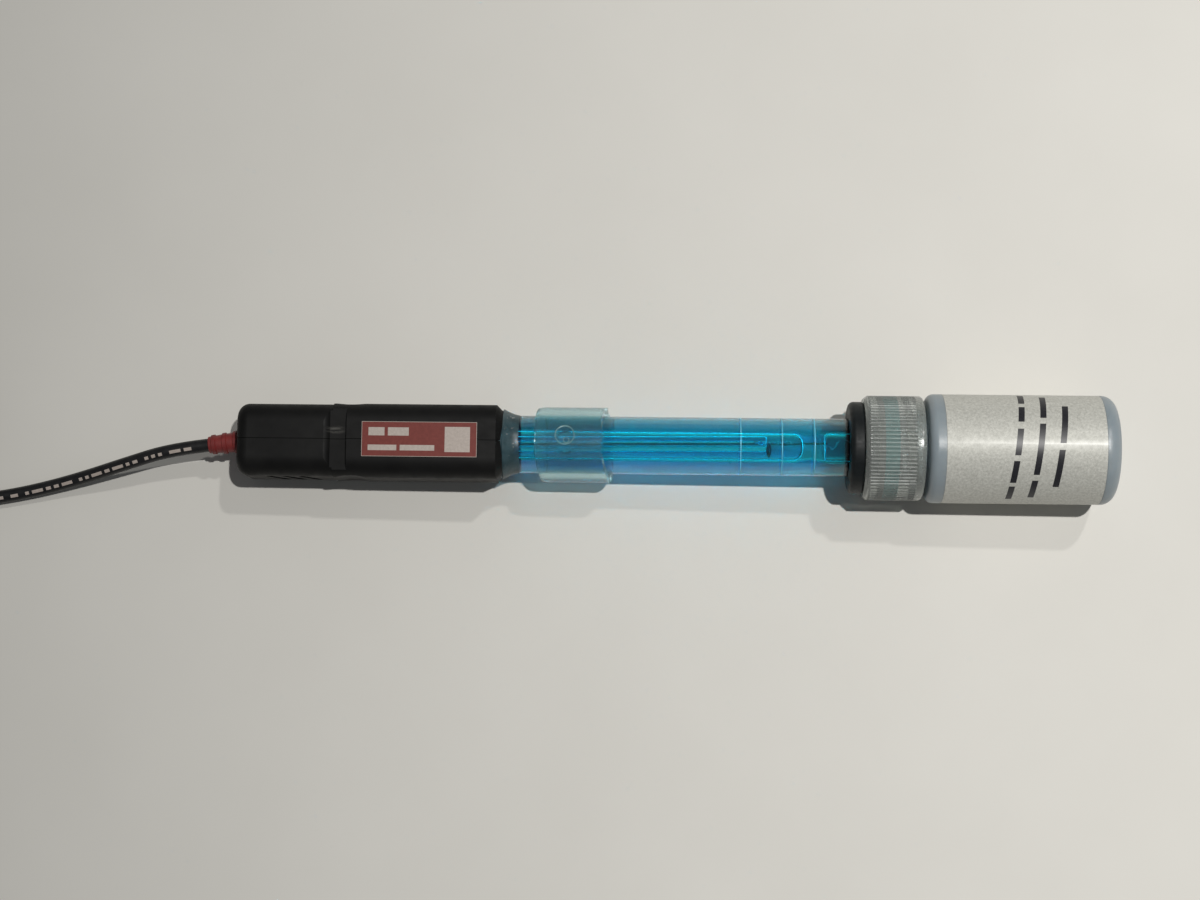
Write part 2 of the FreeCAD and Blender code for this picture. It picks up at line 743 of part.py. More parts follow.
def plug_body():
    """Nickel body: rear barrel, flange that holds the ring, and slotted contact shell."""
    inner = contact_shell_radius - contact_shell_wall
    end = contact_start + contact_shell_length
    body = turned([(barrel_start, 0), (barrel_start, barrel_radius, 0.4), (barrel_end, barrel_radius),
                   (barrel_end, barrel_flange_radius), (contact_start, barrel_flange_radius),
                   (contact_start, contact_shell_radius), (end, contact_shell_radius, 0.2),
                   (end, inner, 0.2), (contact_start, inner), (contact_start, 0)])
    slots = [Part.makeBox(5, 2 * coupling_radius, 0.4, Vector(end - 4.5, -coupling_radius, -0.2))]
    slots.append(slots[0].copy())
    slots[1].rotate(Vector(0, 0, 0), Vector(1, 0, 0), 90)
    return body.cut(slots + [rod(pin_radius + touch_gap, contact_start - 3, contact_start + 1)])


def plug_insulator():
    outer = contact_shell_radius - contact_shell_wall - touch_gap
    return pipe(outer, pin_radius + touch_gap, contact_start + touch_gap,
                contact_start + insulator_length)


def plug_pin():
    end = contact_start + insulator_length + pin_reach
    return turned([(contact_start - 3 + touch_gap, 0), (contact_start - 3 + touch_gap, pin_radius),
                   (end, pin_radius, 0.5), (end, 0)])


def plug_gasket():
    return pipe(gasket_radius, contact_shell_radius + touch_gap, contact_start + touch_gap,
                contact_start + gasket_thickness)


def coupling_ring():
    """Bayonet ring that spins on the barrel, with ridged grip, two lead-in slots and two windows."""
    tips = []
    for i in range(2 * coupling_ridge_count):
        angle = math.pi * i / coupling_ridge_count
        radius = coupling_radius if i % 2 == 0 else coupling_radius - coupling_ridge_depth
        tips.append(Vector(coupling_start, radius * math.sin(angle), radius * math.cos(angle)))
    grip = Part.Face(Part.makePolygon(tips + [tips[0]])).extrude(Vector(coupling_ridge_length, 0, 0))
    front_radius = coupling_radius - 0.35
    front = turned([(coupling_start + coupling_ridge_length, 0),
                    (coupling_start + coupling_ridge_length, front_radius),
                    (coupling_end, front_radius, 0.5), (coupling_end, 0)])
    ring = grip.fuse(front)
    cutters = [rod(barrel_radius + slide_gap, coupling_start - 1, coupling_end + 1),
               rod(coupling_bore_radius, coupling_start + coupling_rear_wall, coupling_end + 1)]
    slot_start = coupling_end - bayonet_slot_length
    for side in (1, -1):
        slot = Part.makeBox(bayonet_slot_length + 1, 3, bayonet_slot_width)
        start = coupling_bore_radius - 2 if side > 0 else -coupling_bore_radius - 1
        slot.translate(Vector(slot_start, start, -bayonet_slot_width / 2))
        window = Part.makeCylinder(bayonet_window_radius, coupling_radius + 1,
                                   Vector(slot_start, 0, 0), Vector(0, side, 0))
        window.rotate(Vector(0, 0, 0), Vector(1, 0, 0), side * 40)
        cutters += [slot, window]
    return ring.cut(cutters)


# Cable on the bench
def tube_along(points, radius):
    """Round tube along straight runs joined by tangent arcs, and the least radius of those arcs."""
    corners = [(points[0], 0.0)]
    radii = []
    for before, here, after in zip(points, points[1:], points[2:]):
        turn = (here - before).getAngle(after - here)
        shorter = min(before.distanceToPoint(here), here.distanceToPoint(after))
        radii.append(0.45 * shorter / math.tan(turn / 2))
        corners.append((here, radii[-1]))
    corners.append((points[-1], 0.0))
    path = Part.Wire(corner_arcs(corners, False))
    ring = Part.Wire(Part.makeCircle(radius, points[0], points[1] - points[0]))
    solid = path.makePipeShell([ring], True, False)
    expected = math.pi * radius ** 2 * path.Length
    print("arc radii: " + ", ".join(f"{r:.0f}" for r in radii))
    print(f"path {path.Length:.1f} mm, volume {solid.Volume:.1f} of {expected:.1f} mm3")
    return solid, path.Length


cable_radius = cable_diameter / 2
coil_outer_turn = coil_middle_radius + coil_spacing
coil_inner_turn = coil_middle_radius - coil_spacing
coil_top = 2 * cable_radius + coil_turns_each * coil_spacing
cable_exit = electrode_at.multVec(relief_nose)
exit_way = electrode_at.Rotation.multVec(relief_nose).normalize()
# Hand chosen points from the relief down to the bench and on to the coil's outer turn
cable_route = [
    cable_exit,
    cable_exit + exit_way * 8.0,
    Vector(-112.0, -4.9, 5.7),
    Vector(-123.0, -8.2, 2.7),
    Vector(-134.0, -11.0, 1.5),
    Vector(-144.5, -12.75, 1.42),
    Vector(-155.0, -13.4, 1.4),
]
# Hand chosen points from the coil's top, over its turns and down to the plug, about the coil's centre
lead_route = [
    Vector(6.9, -9.8, 9.9),
    Vector(-3.0, -11.7, 12.7),
    Vector(-13.5, -11.9, 13.0),
    Vector(-24.0, -10.9, 9.9),
    Vector(-34.5, -9.4, 5.2),
    Vector(-46.0, -8.0, 1.95),
]
plug_heading_deg = 3.5
plug_distance = 17.0


def plug_placement():
    """The plug rests on its ring's rear edge and on its boot, just past the lead's last point."""
    place = laid_down(plug_rear_foot, plug_ring_foot)
    turn = FreeCAD.Placement(Vector(0, 0, 0), FreeCAD.Rotation(Vector(0, 0, 1), 180 - plug_heading_deg))
    placed = turn.multiply(place)
    last = lead_route[-1]
    heading = math.radians(180 - plug_heading_deg)
    start = Vector(coil_centre[0] + last.x, coil_centre[1] + last.y, 0)
    placed.Base = placed.Base + start + Vector(math.cos(heading), math.sin(heading), 0) * plug_distance
    return placed


plug_at = plug_placement()


def free_cable():
    return tube_along(cable_route, cable_radius)


def cable_lead():
    middle = Vector(coil_centre[0], coil_centre[1], 0)
    points = [middle + p for p in lead_route]
    points += [plug_at.multVec(Vector(-plug_cable_lead_in, 0, 0)),
               plug_at.multVec(Vector(plug_cable_depth, 0, 0))]
    return tube_along(points, cable_radius)


def coil_frame_section(grow, floor, top):
    """Section of the coil's bundle, grown all round, as (distance from coil centre, height) points."""
    inner = coil_inner_turn - cable_radius - grow
    outer = coil_outer_turn + cable_radius + grow
    corner = coil_corner + grow
    return [(inner, floor, corner), (outer, floor, corner), (outer, top, corner), (inner, top, corner)]


tie_floor = tie_thickness
tie_top = coil_top + tie_thickness


def tie_band(grow):
    """Straight prism across the bundle at the coil's far side, as wide as the tie."""
    face = outline_face(coil_frame_section(grow, tie_floor - grow, tie_top + grow))
    return face.extrude(Vector(0, tie_width, 0)).translated(Vector(0, -tie_width / 2, 0))


def cable_coil():
    """Outer shape of all the turns, with room under it where the tie passes."""
    ring = outline_face(coil_frame_section(0.0, 0.0, coil_top)).revolve(
        Vector(0, 0, 0), Vector(0, 0, 1), 360)
    tie = tie_band(tie_thickness + tie_clearance).cut(tie_band(-tie_clearance))
    coil = ring.cut(tie)
    return coil.translated(Vector(coil_centre[0], coil_centre[1], 0))


def coil_tie():
    """Releasable tie round the bundle, with its head on the outer side."""
    band = tie_band(tie_thickness).cut(tie_band(0.0))
    outer = coil_outer_turn + cable_radius + tie_thickness
    head = Part.makeBox(tie_head_depth, tie_head, tie_head_height,
                        Vector(outer - tie_thickness / 2, -tie_head / 2, coil_top / 2))
    tie = band.fuse(head.makeFillet(tie_head_round, head.Edges))
    return tie.translated(Vector(coil_centre[0], coil_centre[1], 0))


whole_handle = handle_body()
export("handle_left_shell", half_of(whole_handle, 1), electrode_at)
export("handle_right_shell", half_of(whole_handle, -1), electrode_at)
export("handle_label", handle_label(), electrode_at)
export("strain_relief", strain_relief(), electrode_at)
export("cable_tail", cable_tail(), electrode_at)
export("joint_sleeve", joint_sleeve(), electrode_at)
export("body_tube", body_tube(), electrode_at)
export("potting_collar", potting_collar(), electrode_at)
export("tube_stopper", pipe(tube_bore_radius - touch_gap, inner_tube_radius + touch_gap,
                            tube_start, stopper_end), electrode_at)
export("inner_glass_tube", inner_glass_tube(), electrode_at)
export("capillary", capillary(), electrode_at)
export("copper_wire", copper_wire(), electrode_at)
export("inner_solution", inner_solution(), electrode_at)
export("bridge_solution", bridge_solution(), electrode_at)
export("junction_thread", junction_thread(), electrode_at)
export("inner_junction", rod(chamber_bore_radius - touch_gap, inner_tube_end - junction_plug_length,
                             inner_tube_end), electrode_at)
export("fill_solution", fill_solution(), electrode_at)
export("tip_junction", rod(tip_junction_radius, tube_end - tube_floor - 1,
                           tube_end + tip_junction_stub), electrode_at)
export("refill_sleeve", refill_sleeve(), electrode_at)
export("storage_bottle", storage_bottle(), electrode_at)
export("bottle_label", bottle_label(), electrode_at)
export("screw_cap", screw_cap(), electrode_at)
export("seal_grommet", seal_grommet(), electrode_at)
export("slip_washer", slip_washer(), electrode_at)
export("compression_ring", compression_ring(), electrode_at)

export("plug_boot", plug_boot(), plug_at)
export("plug_ferrule", plug_ferrule(), plug_at)
export("plug_body", plug_body(), plug_at)
export("plug_insulator", plug_insulator(), plug_at)
export("plug_pin", plug_pin(), plug_at)
export("plug_gasket", plug_gasket(), plug_at)
export("coupling_ring", coupling_ring(), plug_at)

cable_solid, cable_run = free_cable()
lead_solid, lead_run = cable_lead()
coil_length = 2 * math.pi * coil_middle_radius * coil_columns * coil_turns_each
export("cable", cable_solid)
export("cable_lead", lead_solid)
export("cable_coil", cable_coil())
export("coil_tie", coil_tie())
print(f"cord {cable_run:.0f} + {coil_length:.0f} + {lead_run:.0f} mm")
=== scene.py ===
import json
import math
import random

import bmesh
import bpy
from mathutils import Matrix, Vector


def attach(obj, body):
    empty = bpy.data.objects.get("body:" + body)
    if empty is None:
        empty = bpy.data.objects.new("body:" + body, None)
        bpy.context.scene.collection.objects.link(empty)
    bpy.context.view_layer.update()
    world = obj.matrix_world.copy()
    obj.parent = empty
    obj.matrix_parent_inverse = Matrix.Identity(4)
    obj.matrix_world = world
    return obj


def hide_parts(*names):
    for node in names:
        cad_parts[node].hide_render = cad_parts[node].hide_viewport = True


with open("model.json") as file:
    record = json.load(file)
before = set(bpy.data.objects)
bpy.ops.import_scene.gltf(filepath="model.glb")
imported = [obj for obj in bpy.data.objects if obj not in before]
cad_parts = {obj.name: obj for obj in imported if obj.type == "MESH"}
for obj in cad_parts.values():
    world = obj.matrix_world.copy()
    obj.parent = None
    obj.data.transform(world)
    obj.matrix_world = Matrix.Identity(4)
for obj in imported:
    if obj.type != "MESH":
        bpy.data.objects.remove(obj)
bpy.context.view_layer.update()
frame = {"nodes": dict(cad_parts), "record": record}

# Looks of a copper sulphate reference electrode that lies on a pale surface with its bottle on.
# Sizes are in millimetres along the electrode's axis: u runs from the handle's rear face to the
# bottle's base, y is sideways, w is away from the surface. mm turns them into metres.
mm = 0.001
scene = bpy.context.scene

# Photograph, in its own 1200 by 900 frame
photo_width = 1200
photo_scale = 4.8
photo_centre_u = 75.0
photo_centre_y = -1.0
camera_focal_px = 2190.0
camera_elevation_deg = 84.0
camera_roll_deg = 0.75
sensor_width = 36.0

# Sizes that repeat the part's own, for pieces made here
bottle_end = 181.3
handle_length = 55.0
handle_label_start = 26.2
handle_label_end = 49.9
handle_label_width = 7.2
handle_label_top = 8.055
cable_diameter = 2.8
relief_nose_length = 6.9
relief_yaw = math.radians(7.0)
tube_radius = 6.0
tube_bore_radius = 4.25
tube_start = 44.5
tube_end = 170.0
tube_floor = 5.0
tube_floor_corner = 0.6
tube_tip_round = 1.0
tip_junction_bore = 1.02
refill_hole_radius = 2.0
refill_hole_place = 68.0
potting_start = 50.0
potting_pocket_radius = 6.95
potting_bead_radius = 7.3
potting_bead_end = 58.3
stopper_end = 57.2
inner_tube_start = 47.0
inner_tube_end = 160.0
inner_tube_radius = 2.4
inner_tube_bore_radius = 1.8
upper_bore_end = 117.0
neck_start = 115.6
neck_narrowest = 118.4
neck_end = 122.6
neck_radius = 1.95
chamber_start = 121.6
chamber_radius = 2.5
chamber_bore_radius = 1.85
junction_plug_length = 3.5
capillary_start = 48.0
capillary_end = 109.6
capillary_radius = 1.15
capillary_bore_radius = 0.3
capillary_lean = 0.45
wire_radius = 0.2
wire_start = 24.02
wire_end = 122.2
sleeve_start = 62.8
sleeve_end = 76.6
sleeve_radius = 7.85
sleeve_bore = 6.06
sleeve_slant_deg = 9.0
sleeve_yaw_deg = 2.0
bottle_mouth = 136.4
bottle_shoulder = 142.3
bottle_neck_radius = 8.3
bottle_label_radius = 11.29
cap_start = 129.39
cap_end = 141.7
cap_end_wall = 1.1
cap_radius = 10.85
cap_bevel = 0.7
cap_hole_radius = 7.2
cap_rib_count = 78
cap_rib_depth = 0.3
cap_rib_start = 130.29
cap_rib_end = 139.9
cap_rim_round = 0.8
washer_start = 132.1
washer_end = 133.4
ring_start = 133.45
ring_end = 136.35
cap_bore_radius = 9.45
thread_pitch = 3.2
thread_depth = 0.95
thread_root_width = 1.5
thread_crest_width = 0.7
thread_run_out = 0.06
print_sunk = 0.01
print_raised = 0.012

# How far a liquid reaches into the wall that holds it, so that no film of air shows between them
wetting = 0.03

# Lamps: name, place and aim in metres, radius, power and cone in degrees
lamps = (("key_light", (0.46, 0.25, 2.0), (0.45, 0.0, 0.0), 0.022, 131.0, 46.0),
         ("second_light", (0.73, 1.14, 2.0), (0.25, 0.0, 0.0), 0.045, 36.0, 60.0))
lamp_colour = (1.0, 0.985, 0.955)
sky_colour = (0.93, 0.96, 1.0)
sky_strength = 0.105


# Places
mounts = {m["name"]: m for m in frame["record"]["mounts"]}
base_point = Vector(mounts["bottle_base"]["pos_m"])
along = Vector(mounts["bottle_base"]["axis"]).normalized()
side = Vector((0.0, 1.0, 0.0))
up = along.cross(side)


def on_axis(u, y=0.0, w=0.0):
    return base_point + (along * (u - bottle_end) + side * y + up * w) * mm


def around(u, radius, turn):
    """Point at a distance from the axis; turn is in radians from straight up towards +Y."""
    return on_axis(u, radius * math.sin(turn), radius * math.cos(turn))


def circle(count):
    return [2 * math.pi * k / count for k in range(count)]


def new_object(name, data):
    made = bpy.data.objects.new(name, data)
    scene.collection.objects.link(made)
    return made


# Camera and light
def make_camera():
    data = bpy.data.cameras.new("camera")
    data.sensor_width = sensor_width
    data.lens = camera_focal_px / photo_width * sensor_width
    data.clip_start = 0.01
    data.clip_end = 10.0
    camera = new_object("camera", data)
    distance = camera_focal_px / photo_scale * mm
    elevation = math.radians(camera_elevation_deg)
    away = Vector((0.0, -math.cos(elevation), math.sin(elevation)))
    aim = on_axis(photo_centre_u, photo_centre_y)
    turn = (-away).to_track_quat("-Z", "Y").to_matrix().to_4x4()
    roll = Matrix.Rotation(math.radians(camera_roll_deg), 4, "Z")
    camera.matrix_world = Matrix.Translation(aim + away * distance) @ turn @ roll
    scene.camera = camera


def lamp(name, place, aim, radius, power, cone_deg):
    """Soft-edged spot lamp; its light fades away from where it aims."""
    data = bpy.data.lights.new(name, "SPOT")
    data.shadow_soft_size = radius
    data.spot_size = math.radians(cone_deg)
    data.spot_blend = 1.0
    data.energy = power
    data.color = lamp_colour
    light = new_object(name, data)
    light.visible_transmission = False
    way = Vector(aim) - Vector(place)
    turn = way.to_track_quat("-Z", "Y").to_matrix().to_4x4()
    light.matrix_world = Matrix.Translation(Vector(place)) @ turn


def make_lights():
    for settings in lamps:
        lamp(*settings)
    world = bpy.data.worlds.new("studio")
    world.use_nodes = True
    background = world.node_tree.nodes["Background"]
    background.inputs["Color"].default_value = (*sky_colour, 1.0)
    background.inputs["Strength"].default_value = sky_strength
    scene.world = world
    # Light crosses many walls of plastic, glass and liquid
    cycles = scene.cycles
    cycles.max_bounces = 36
    cycles.transmission_bounces = 36
    cycles.transparent_max_bounces = 48
    cycles.glossy_bounces = 8
    scene.view_settings.view_transform = "Standard"


# Material building blocks
def new_material(name, colour, roughness, **values):
    """Principled material; other sockets are given by name with spaces as underscores."""
    made = bpy.data.materials.new(name)
    made.use_nodes = True
    shader = made.node_tree.nodes["Principled BSDF"]
    shader.inputs["Base Color"].default_value = (*colour, 1.0)
    shader.inputs["Roughness"].default_value = roughness
    for key, value in values.items():
        shader.inputs[key.replace("_", " ")].default_value = value
    return made


def shader_of(made):
    return made.node_tree.nodes["Principled BSDF"]


def node(tree, kind, **settings):
    made = tree.nodes.new(kind)
    for key, value in settings.items():
        setattr(made, key, value)
    return made


def vector_math(tree, operation, source, by=None):
    made = node(tree, "ShaderNodeVectorMath", operation=operation)
    tree.links.new(source, made.inputs[0])
    if by is not None:
        made.inputs[1].default_value = by
    return made.outputs["Value" if operation == "LENGTH" else "Vector"]


def place_mm(tree, stretch=(1.0, 1.0, 1.0)):
    """The point's own coordinates in millimetres, stretched along x, y and z."""
    coordinates = node(tree, "ShaderNodeTexCoord").outputs["Object"]
    return vector_math(tree, "MULTIPLY", coordinates, [s / mm for s in stretch])


def noise(tree, scale, detail=2.0, roughness=0.5, stretch=(1.0, 1.0, 1.0)):
    texture = node(tree, "ShaderNodeTexNoise")
    texture.inputs["Scale"].default_value = scale
    texture.inputs["Detail"].default_value = detail
    texture.inputs["Roughness"].default_value = roughness
    tree.links.new(place_mm(tree, stretch), texture.inputs["Vector"])
    return texture.outputs["Fac"]


def spread(tree, value, low, high, to_low=0.0, to_high=1.0):
    """Map a range of a value onto another range, held at its ends."""
    mapped = node(tree, "ShaderNodeMapRange")
    mapped.clamp = True
    limits = {"From Min": low, "From Max": high, "To Min": to_low, "To Max": to_high}
    for key, number in limits.items():
        mapped.inputs[key].default_value = number
    tree.links.new(value, mapped.inputs["Value"])
    return mapped.outputs["Result"]


def product(tree, first, second):
    times = node(tree, "ShaderNodeMath", operation="MULTIPLY")
    tree.links.new(first, times.inputs[0])
    tree.links.new(second, times.inputs[1])
    return times.outputs[0]


def mixed_colour(tree, fac, first, second):
    """Colour between two others, each given as three numbers or as a socket."""
    mix = node(tree, "ShaderNodeMix", data_type="RGBA")
    for key, colour in (("A", first), ("B", second)):
        if isinstance(colour, tuple):
            mix.inputs[key].default_value = (*colour, 1.0)
        else:
            tree.links.new(colour, mix.inputs[key])
    tree.links.new(fac, mix.inputs["Factor"])
    return mix.outputs["Result"]


def mixed_shader(tree, fac, first, second):
    mix = node(tree, "ShaderNodeMixShader")
    for socket, value in zip(mix.inputs, (fac, first, second)):
        tree.links.new(value, socket)
    return mix.outputs["Shader"]


# Below, grain is the scale, detail, roughness and stretch of a noise, as far as needed
def vary_colour(made, first, second, *grain, span=(0.3, 0.7)):
    """Mottle the base colour; span is the noise's range from first to second."""
    tree = made.node_tree
    colour = mixed_colour(tree, spread(tree, noise(tree, *grain), *span), first, second)
    tree.links.new(colour, shader_of(made).inputs["Base Color"])
    return colour


def vary_roughness(made, low, high, *grain, span=(0.3, 0.7)):
    tree = made.node_tree
    value = spread(tree, noise(tree, *grain), *span, low, high)
    tree.links.new(value, shader_of(made).inputs["Roughness"])


def add_bump(made, strength, distance, *grain):
    tree = made.node_tree
    bump = node(tree, "ShaderNodeBump")
    bump.inputs["Strength"].default_value = strength
    bump.inputs["Distance"].default_value = distance * mm
    tree.links.new(noise(tree, *grain), bump.inputs["Height"])
    tree.links.new(bump.outputs["Normal"], shader_of(made).inputs["Normal"])


def let_light_through(made, colour, edge=None, grazing_range=(0.06, 0.40)):
    """Shadow rays pass a clear piece and take its tint, so that lamps reach what lies behind it.

    A round clear piece bends light aside: edge is its tint where light grazes it.
    """
    tree = made.node_tree
    path = node(tree, "ShaderNodeLightPath")
    clear = node(tree, "ShaderNodeBsdfTransparent")
    clear.inputs["Color"].default_value = (*colour, 1.0)
    if edge:
        grazing = node(tree, "ShaderNodeLayerWeight")
        share = spread(tree, grazing.outputs["Facing"], *grazing_range)
        tree.links.new(mixed_colour(tree, share, colour, edge), clear.inputs["Color"])
    surface = mixed_shader(tree, path.outputs["Is Shadow Ray"], shader_of(made).outputs["BSDF"],
                           clear.outputs["BSDF"])
    tree.links.new(surface, tree.nodes["Material Output"].inputs["Surface"])


def glint_at_rim(made, colour, rim_range, strength=0.85):
    """Painted glint: a pale line at the rim of a round clear piece, its colour above 1, standing in
    for light that gathers there.

    It follows let_light_through and leaves the shadow rays as they are.
    """
    tree = made.node_tree
    shadow_mix = next(n for n in tree.nodes if n.bl_idname == "ShaderNodeMixShader")
    grazing = node(tree, "ShaderNodeLayerWeight")
    pale = node(tree, "ShaderNodeBsdfDiffuse")
    pale.inputs["Color"].default_value = (*colour, 1.0)
    share = spread(tree, grazing.outputs["Facing"], *rim_range, 0.0, strength)
    rim = mixed_shader(tree, share, shader_of(made).outputs["BSDF"], pale.outputs["BSDF"])
    tree.links.new(rim, shadow_mix.inputs[1])


def absorb(made, colour, density):
    """Colour a clear piece through its depth."""
    tree = made.node_tree
    volume = node(tree, "ShaderNodeVolumeAbsorption")
    volume.inputs["Color"].default_value = (*colour, 1.0)
    volume.inputs["Density"].default_value = density
    tree.links.new(volume.outputs["Volume"], tree.nodes["Material Output"].inputs["Volume"])


def mottled(name, colour, roughness, shades, grain, bump=None, gloss=None, span=(0.3, 0.7),
            **values):
    """Colour that varies between two shades; bump and gloss are what their helpers take."""
    made = new_material(name, colour, roughness, **values)
    vary_colour(made, *shades, *grain, span=span)
    if bump:
        add_bump(made, *bump)
    if gloss:
        vary_roughness(made, *gloss)
    return made


# Materials
# Pale patch on the handle's waist: partly scuffed wear, partly a painted highlight where light
# falls on its top
scuff_and_highlight_place = (20.6, 1.9, 6.6)
scuff_and_highlight_size = (2.6, 1.0, 2.5)
scuff_and_highlight_colour = (0.085, 0.083, 0.075)
liquid_ior = 1.345
liquid_colour = (0.0, 0.955, 0.985)
liquid_density = 1200.0
glass_ior = 1.52
no_tint = (1.0, 1.0, 1.0)


def handle_plastic():
    """Dull black plastic with a fine moulded grain and a pale patch on the waist, partly a scuff
    and partly a painted highlight.
    """
    made = new_material("handle_plastic", (0.007, 0.007, 0.007), 0.55, Specular_IOR_Level=0.17)
    tree = made.node_tree
    plain = vary_colour(made, (0.0055, 0.0055, 0.0055), (0.009, 0.009, 0.0088), 0.12, 3.0,
                        span=(0.35, 0.7))
    # Painted highlight and scuff: a pale streaked patch round one place on the waist's top
    away = vector_math(tree, "SUBTRACT", place_mm(tree), on_axis(*scuff_and_highlight_place) / mm)
    reach = vector_math(tree, "MULTIPLY", away, [1 / size for size in scuff_and_highlight_size])
    reach = vector_math(tree, "LENGTH", reach)
    streaks = spread(tree, noise(tree, 1.5, 5.0, 0.75, (0.35, 2.0, 1.0)), 0.42, 0.62)
    scuff_and_highlight_patch = product(tree, spread(tree, reach, 0.3, 1.0, 1.0, 0.0), streaks)
    worn_and_highlit = mixed_colour(tree, scuff_and_highlight_patch, plain, scuff_and_highlight_colour)
    tree.links.new(worn_and_highlit, shader_of(made).inputs["Base Color"])
    add_bump(made, 0.16, 0.05, 3.2, 4.0, 0.6)
    vary_roughness(made, 0.48, 0.62, 0.5, 3.0)
    return made


def clear_material(name, colour, ior, *shadow):
    """Smooth clear material; shadow is what let_light_through takes."""
    made = new_material(name, colour, 0.0, Transmission_Weight=1.0, IOR=ior)
    let_light_through(made, *shadow)
    return made


def clear_plastic():
    return clear_material("clear_plastic", (0.94, 0.975, 0.98), 1.49, (0.74, 0.78, 0.79),
                          (0.09, 0.16, 0.18), (0.03, 0.30))


def clear_glass(name="clear_glass"):
    return clear_material(name, (0.97, 0.99, 0.99), glass_ior, no_tint)


def sheath_glass():
    made = clear_glass("sheath_glass")
    # Painted glint along the sheath's rim
    glint_at_rim(made, (2.0, 6.0, 7.0), (0.66, 0.80))
    return made


def blue_liquid(name, shadow, rim=None):
    made = clear_material(name, no_tint, liquid_ior, shadow)
    absorb(made, liquid_colour, liquid_density)
    # rim is the colour of a painted glint
    if rim:
        glint_at_rim(made, rim, (0.68, 0.80))
    return made


def air_in_liquid():
    """Surface of a bubble, whose normals point inward, so that the liquid lies outside it."""
    return clear_material("air_in_liquid", no_tint, liquid_ior, no_tint)


# Pale teal for the painted caustic rings
def caustic_ring_paint():
    made = mottled("caustic_ring_paint", (0.60, 0.90, 0.97), 0.3,
                   ((0.16, 0.62, 0.80), (0.34, 0.80, 0.92)), (0.8, 3.0), span=(0.35, 0.65),
                   Transmission_Weight=0.35, IOR=1.45)
    let_light_through(made, (0.7, 0.9, 0.95))
    return made


def cloudy_silicone():
    made = new_material("cloudy_silicone", (0.56, 0.80, 0.84), 0.14, Transmission_Weight=0.975,
                        IOR=1.41)
    add_bump(made, 0.12, 0.10, 0.8, 4.0, 0.6)
    vary_roughness(made, 0.09, 0.20, 0.5, 4.0)
    let_light_through(made, (0.76, 0.84, 0.84), (0.30, 0.36, 0.37), (0.05, 0.40))
    return made


def cloudy_resin():
    made = mottled("cloudy_resin", (0.10, 0.16, 0.18), 0.36,
                   ((0.035, 0.085, 0.105), (0.11, 0.20, 0.23)), (0.5, 4.0, 0.6),
                   (0.10, 0.2, 0.5, 2.0), Transmission_Weight=0.6, IOR=1.45)
    let_light_through(made, (0.40, 0.50, 0.55))
    return made


def cap_plastic():
    """Clear plastic, dulled by fine scratches."""
    made = mottled("cap_plastic", (0.52, 0.54, 0.52), 0.2,
                   ((0.50, 0.53, 0.51), (0.80, 0.81, 0.79)), (1.4, 5.0, 0.8, (0.6, 1.6, 1.0)),
                   (0.05, 0.1, 0.6, 3.0), span=(0.62, 0.74), Transmission_Weight=0.74, IOR=1.48)
    vary_roughness(made, 0.17, 0.30, 0.9, 4.0, span=(0.35, 0.75))
    let_light_through(made, (0.42, 0.43, 0.42), (0.22, 0.23, 0.22))
    return made


def soft_rubber(name, dark, light, roughness=0.5, shine=0.5):
    return mottled(name, dark, roughness, (dark, light), (0.8, 4.0, 0.6),
                   (0.14, 0.06, 2.4, 4.0, 0.6), (roughness - 0.06, roughness + 0.08, 1.2, 3.0),
                   Specular_IOR_Level=shine)


def plated_metal(name, dark, light, roughness):
    return mottled(name, dark, roughness, (dark, light), (0.7, 4.0, 0.6),
                   (0.06, 0.03, 3.0, 3.0, 0.5, (0.2, 1.0, 1.0)),
                   (roughness * 0.7, roughness * 1.5, 1.0, 4.0), Metallic=1.0)


floor_surface = mottled(
    "floor_surface", (0.75, 0.735, 0.69), 0.6, ((0.735, 0.72, 0.675), (0.765, 0.75, 0.705)),
    (0.02, 4.0, 0.55), (0.05, 0.1, 1.1, 4.0, 0.6), Specular_IOR_Level=0.2)
red_film = mottled(
    "red_film", (0.19, 0.03, 0.025), 0.45, ((0.165, 0.027, 0.020), (0.21, 0.038, 0.029)),
    (1.4, 4.0, 0.7), (0.08, 0.04, 2.5, 3.0), Specular_IOR_Level=0.3)
pale_ink = mottled(
    "pale_ink", (0.55, 0.46, 0.42), 0.5, ((0.42, 0.36, 0.32), (0.54, 0.47, 0.42)), (2.2, 4.0, 0.7))
black_ink = mottled(
    "black_ink", (0.012, 0.012, 0.016), 0.4, ((0.008, 0.008, 0.012), (0.030, 0.030, 0.036)),
    (3.0, 4.0, 0.7), span=(0.3, 0.8))
red_rubber = mottled(
    "red_rubber", (0.26, 0.022, 0.022), 0.48, ((0.17, 0.020, 0.019), (0.25, 0.033, 0.030)),
    (0.7, 3.0), (0.10, 0.03, 4.0, 2.0), Subsurface_Weight=0.12, Subsurface_Scale=0.6 * mm)
cable_sheath = mottled(
    "cable_sheath", (0.012, 0.012, 0.013), 0.38, ((0.010, 0.010, 0.011), (0.017, 0.017, 0.018)),
    (0.6, 3.0), (0.08, 0.04, 2.0, 3.0), (0.33, 0.46, 1.1, 2.0), Specular_IOR_Level=0.35)
bottle_plastic = mottled(
    "bottle_plastic", (0.27, 0.315, 0.345), 0.34, ((0.255, 0.30, 0.33), (0.31, 0.355, 0.38)),
    (0.10, 3.0), (0.06, 0.08, 0.9, 3.0), (0.28, 0.42, 0.4, 3.0), Subsurface_Weight=0.35,
    Subsurface_Scale=2.2 * mm, Subsurface_Radius=(0.8, 1.0, 1.2))
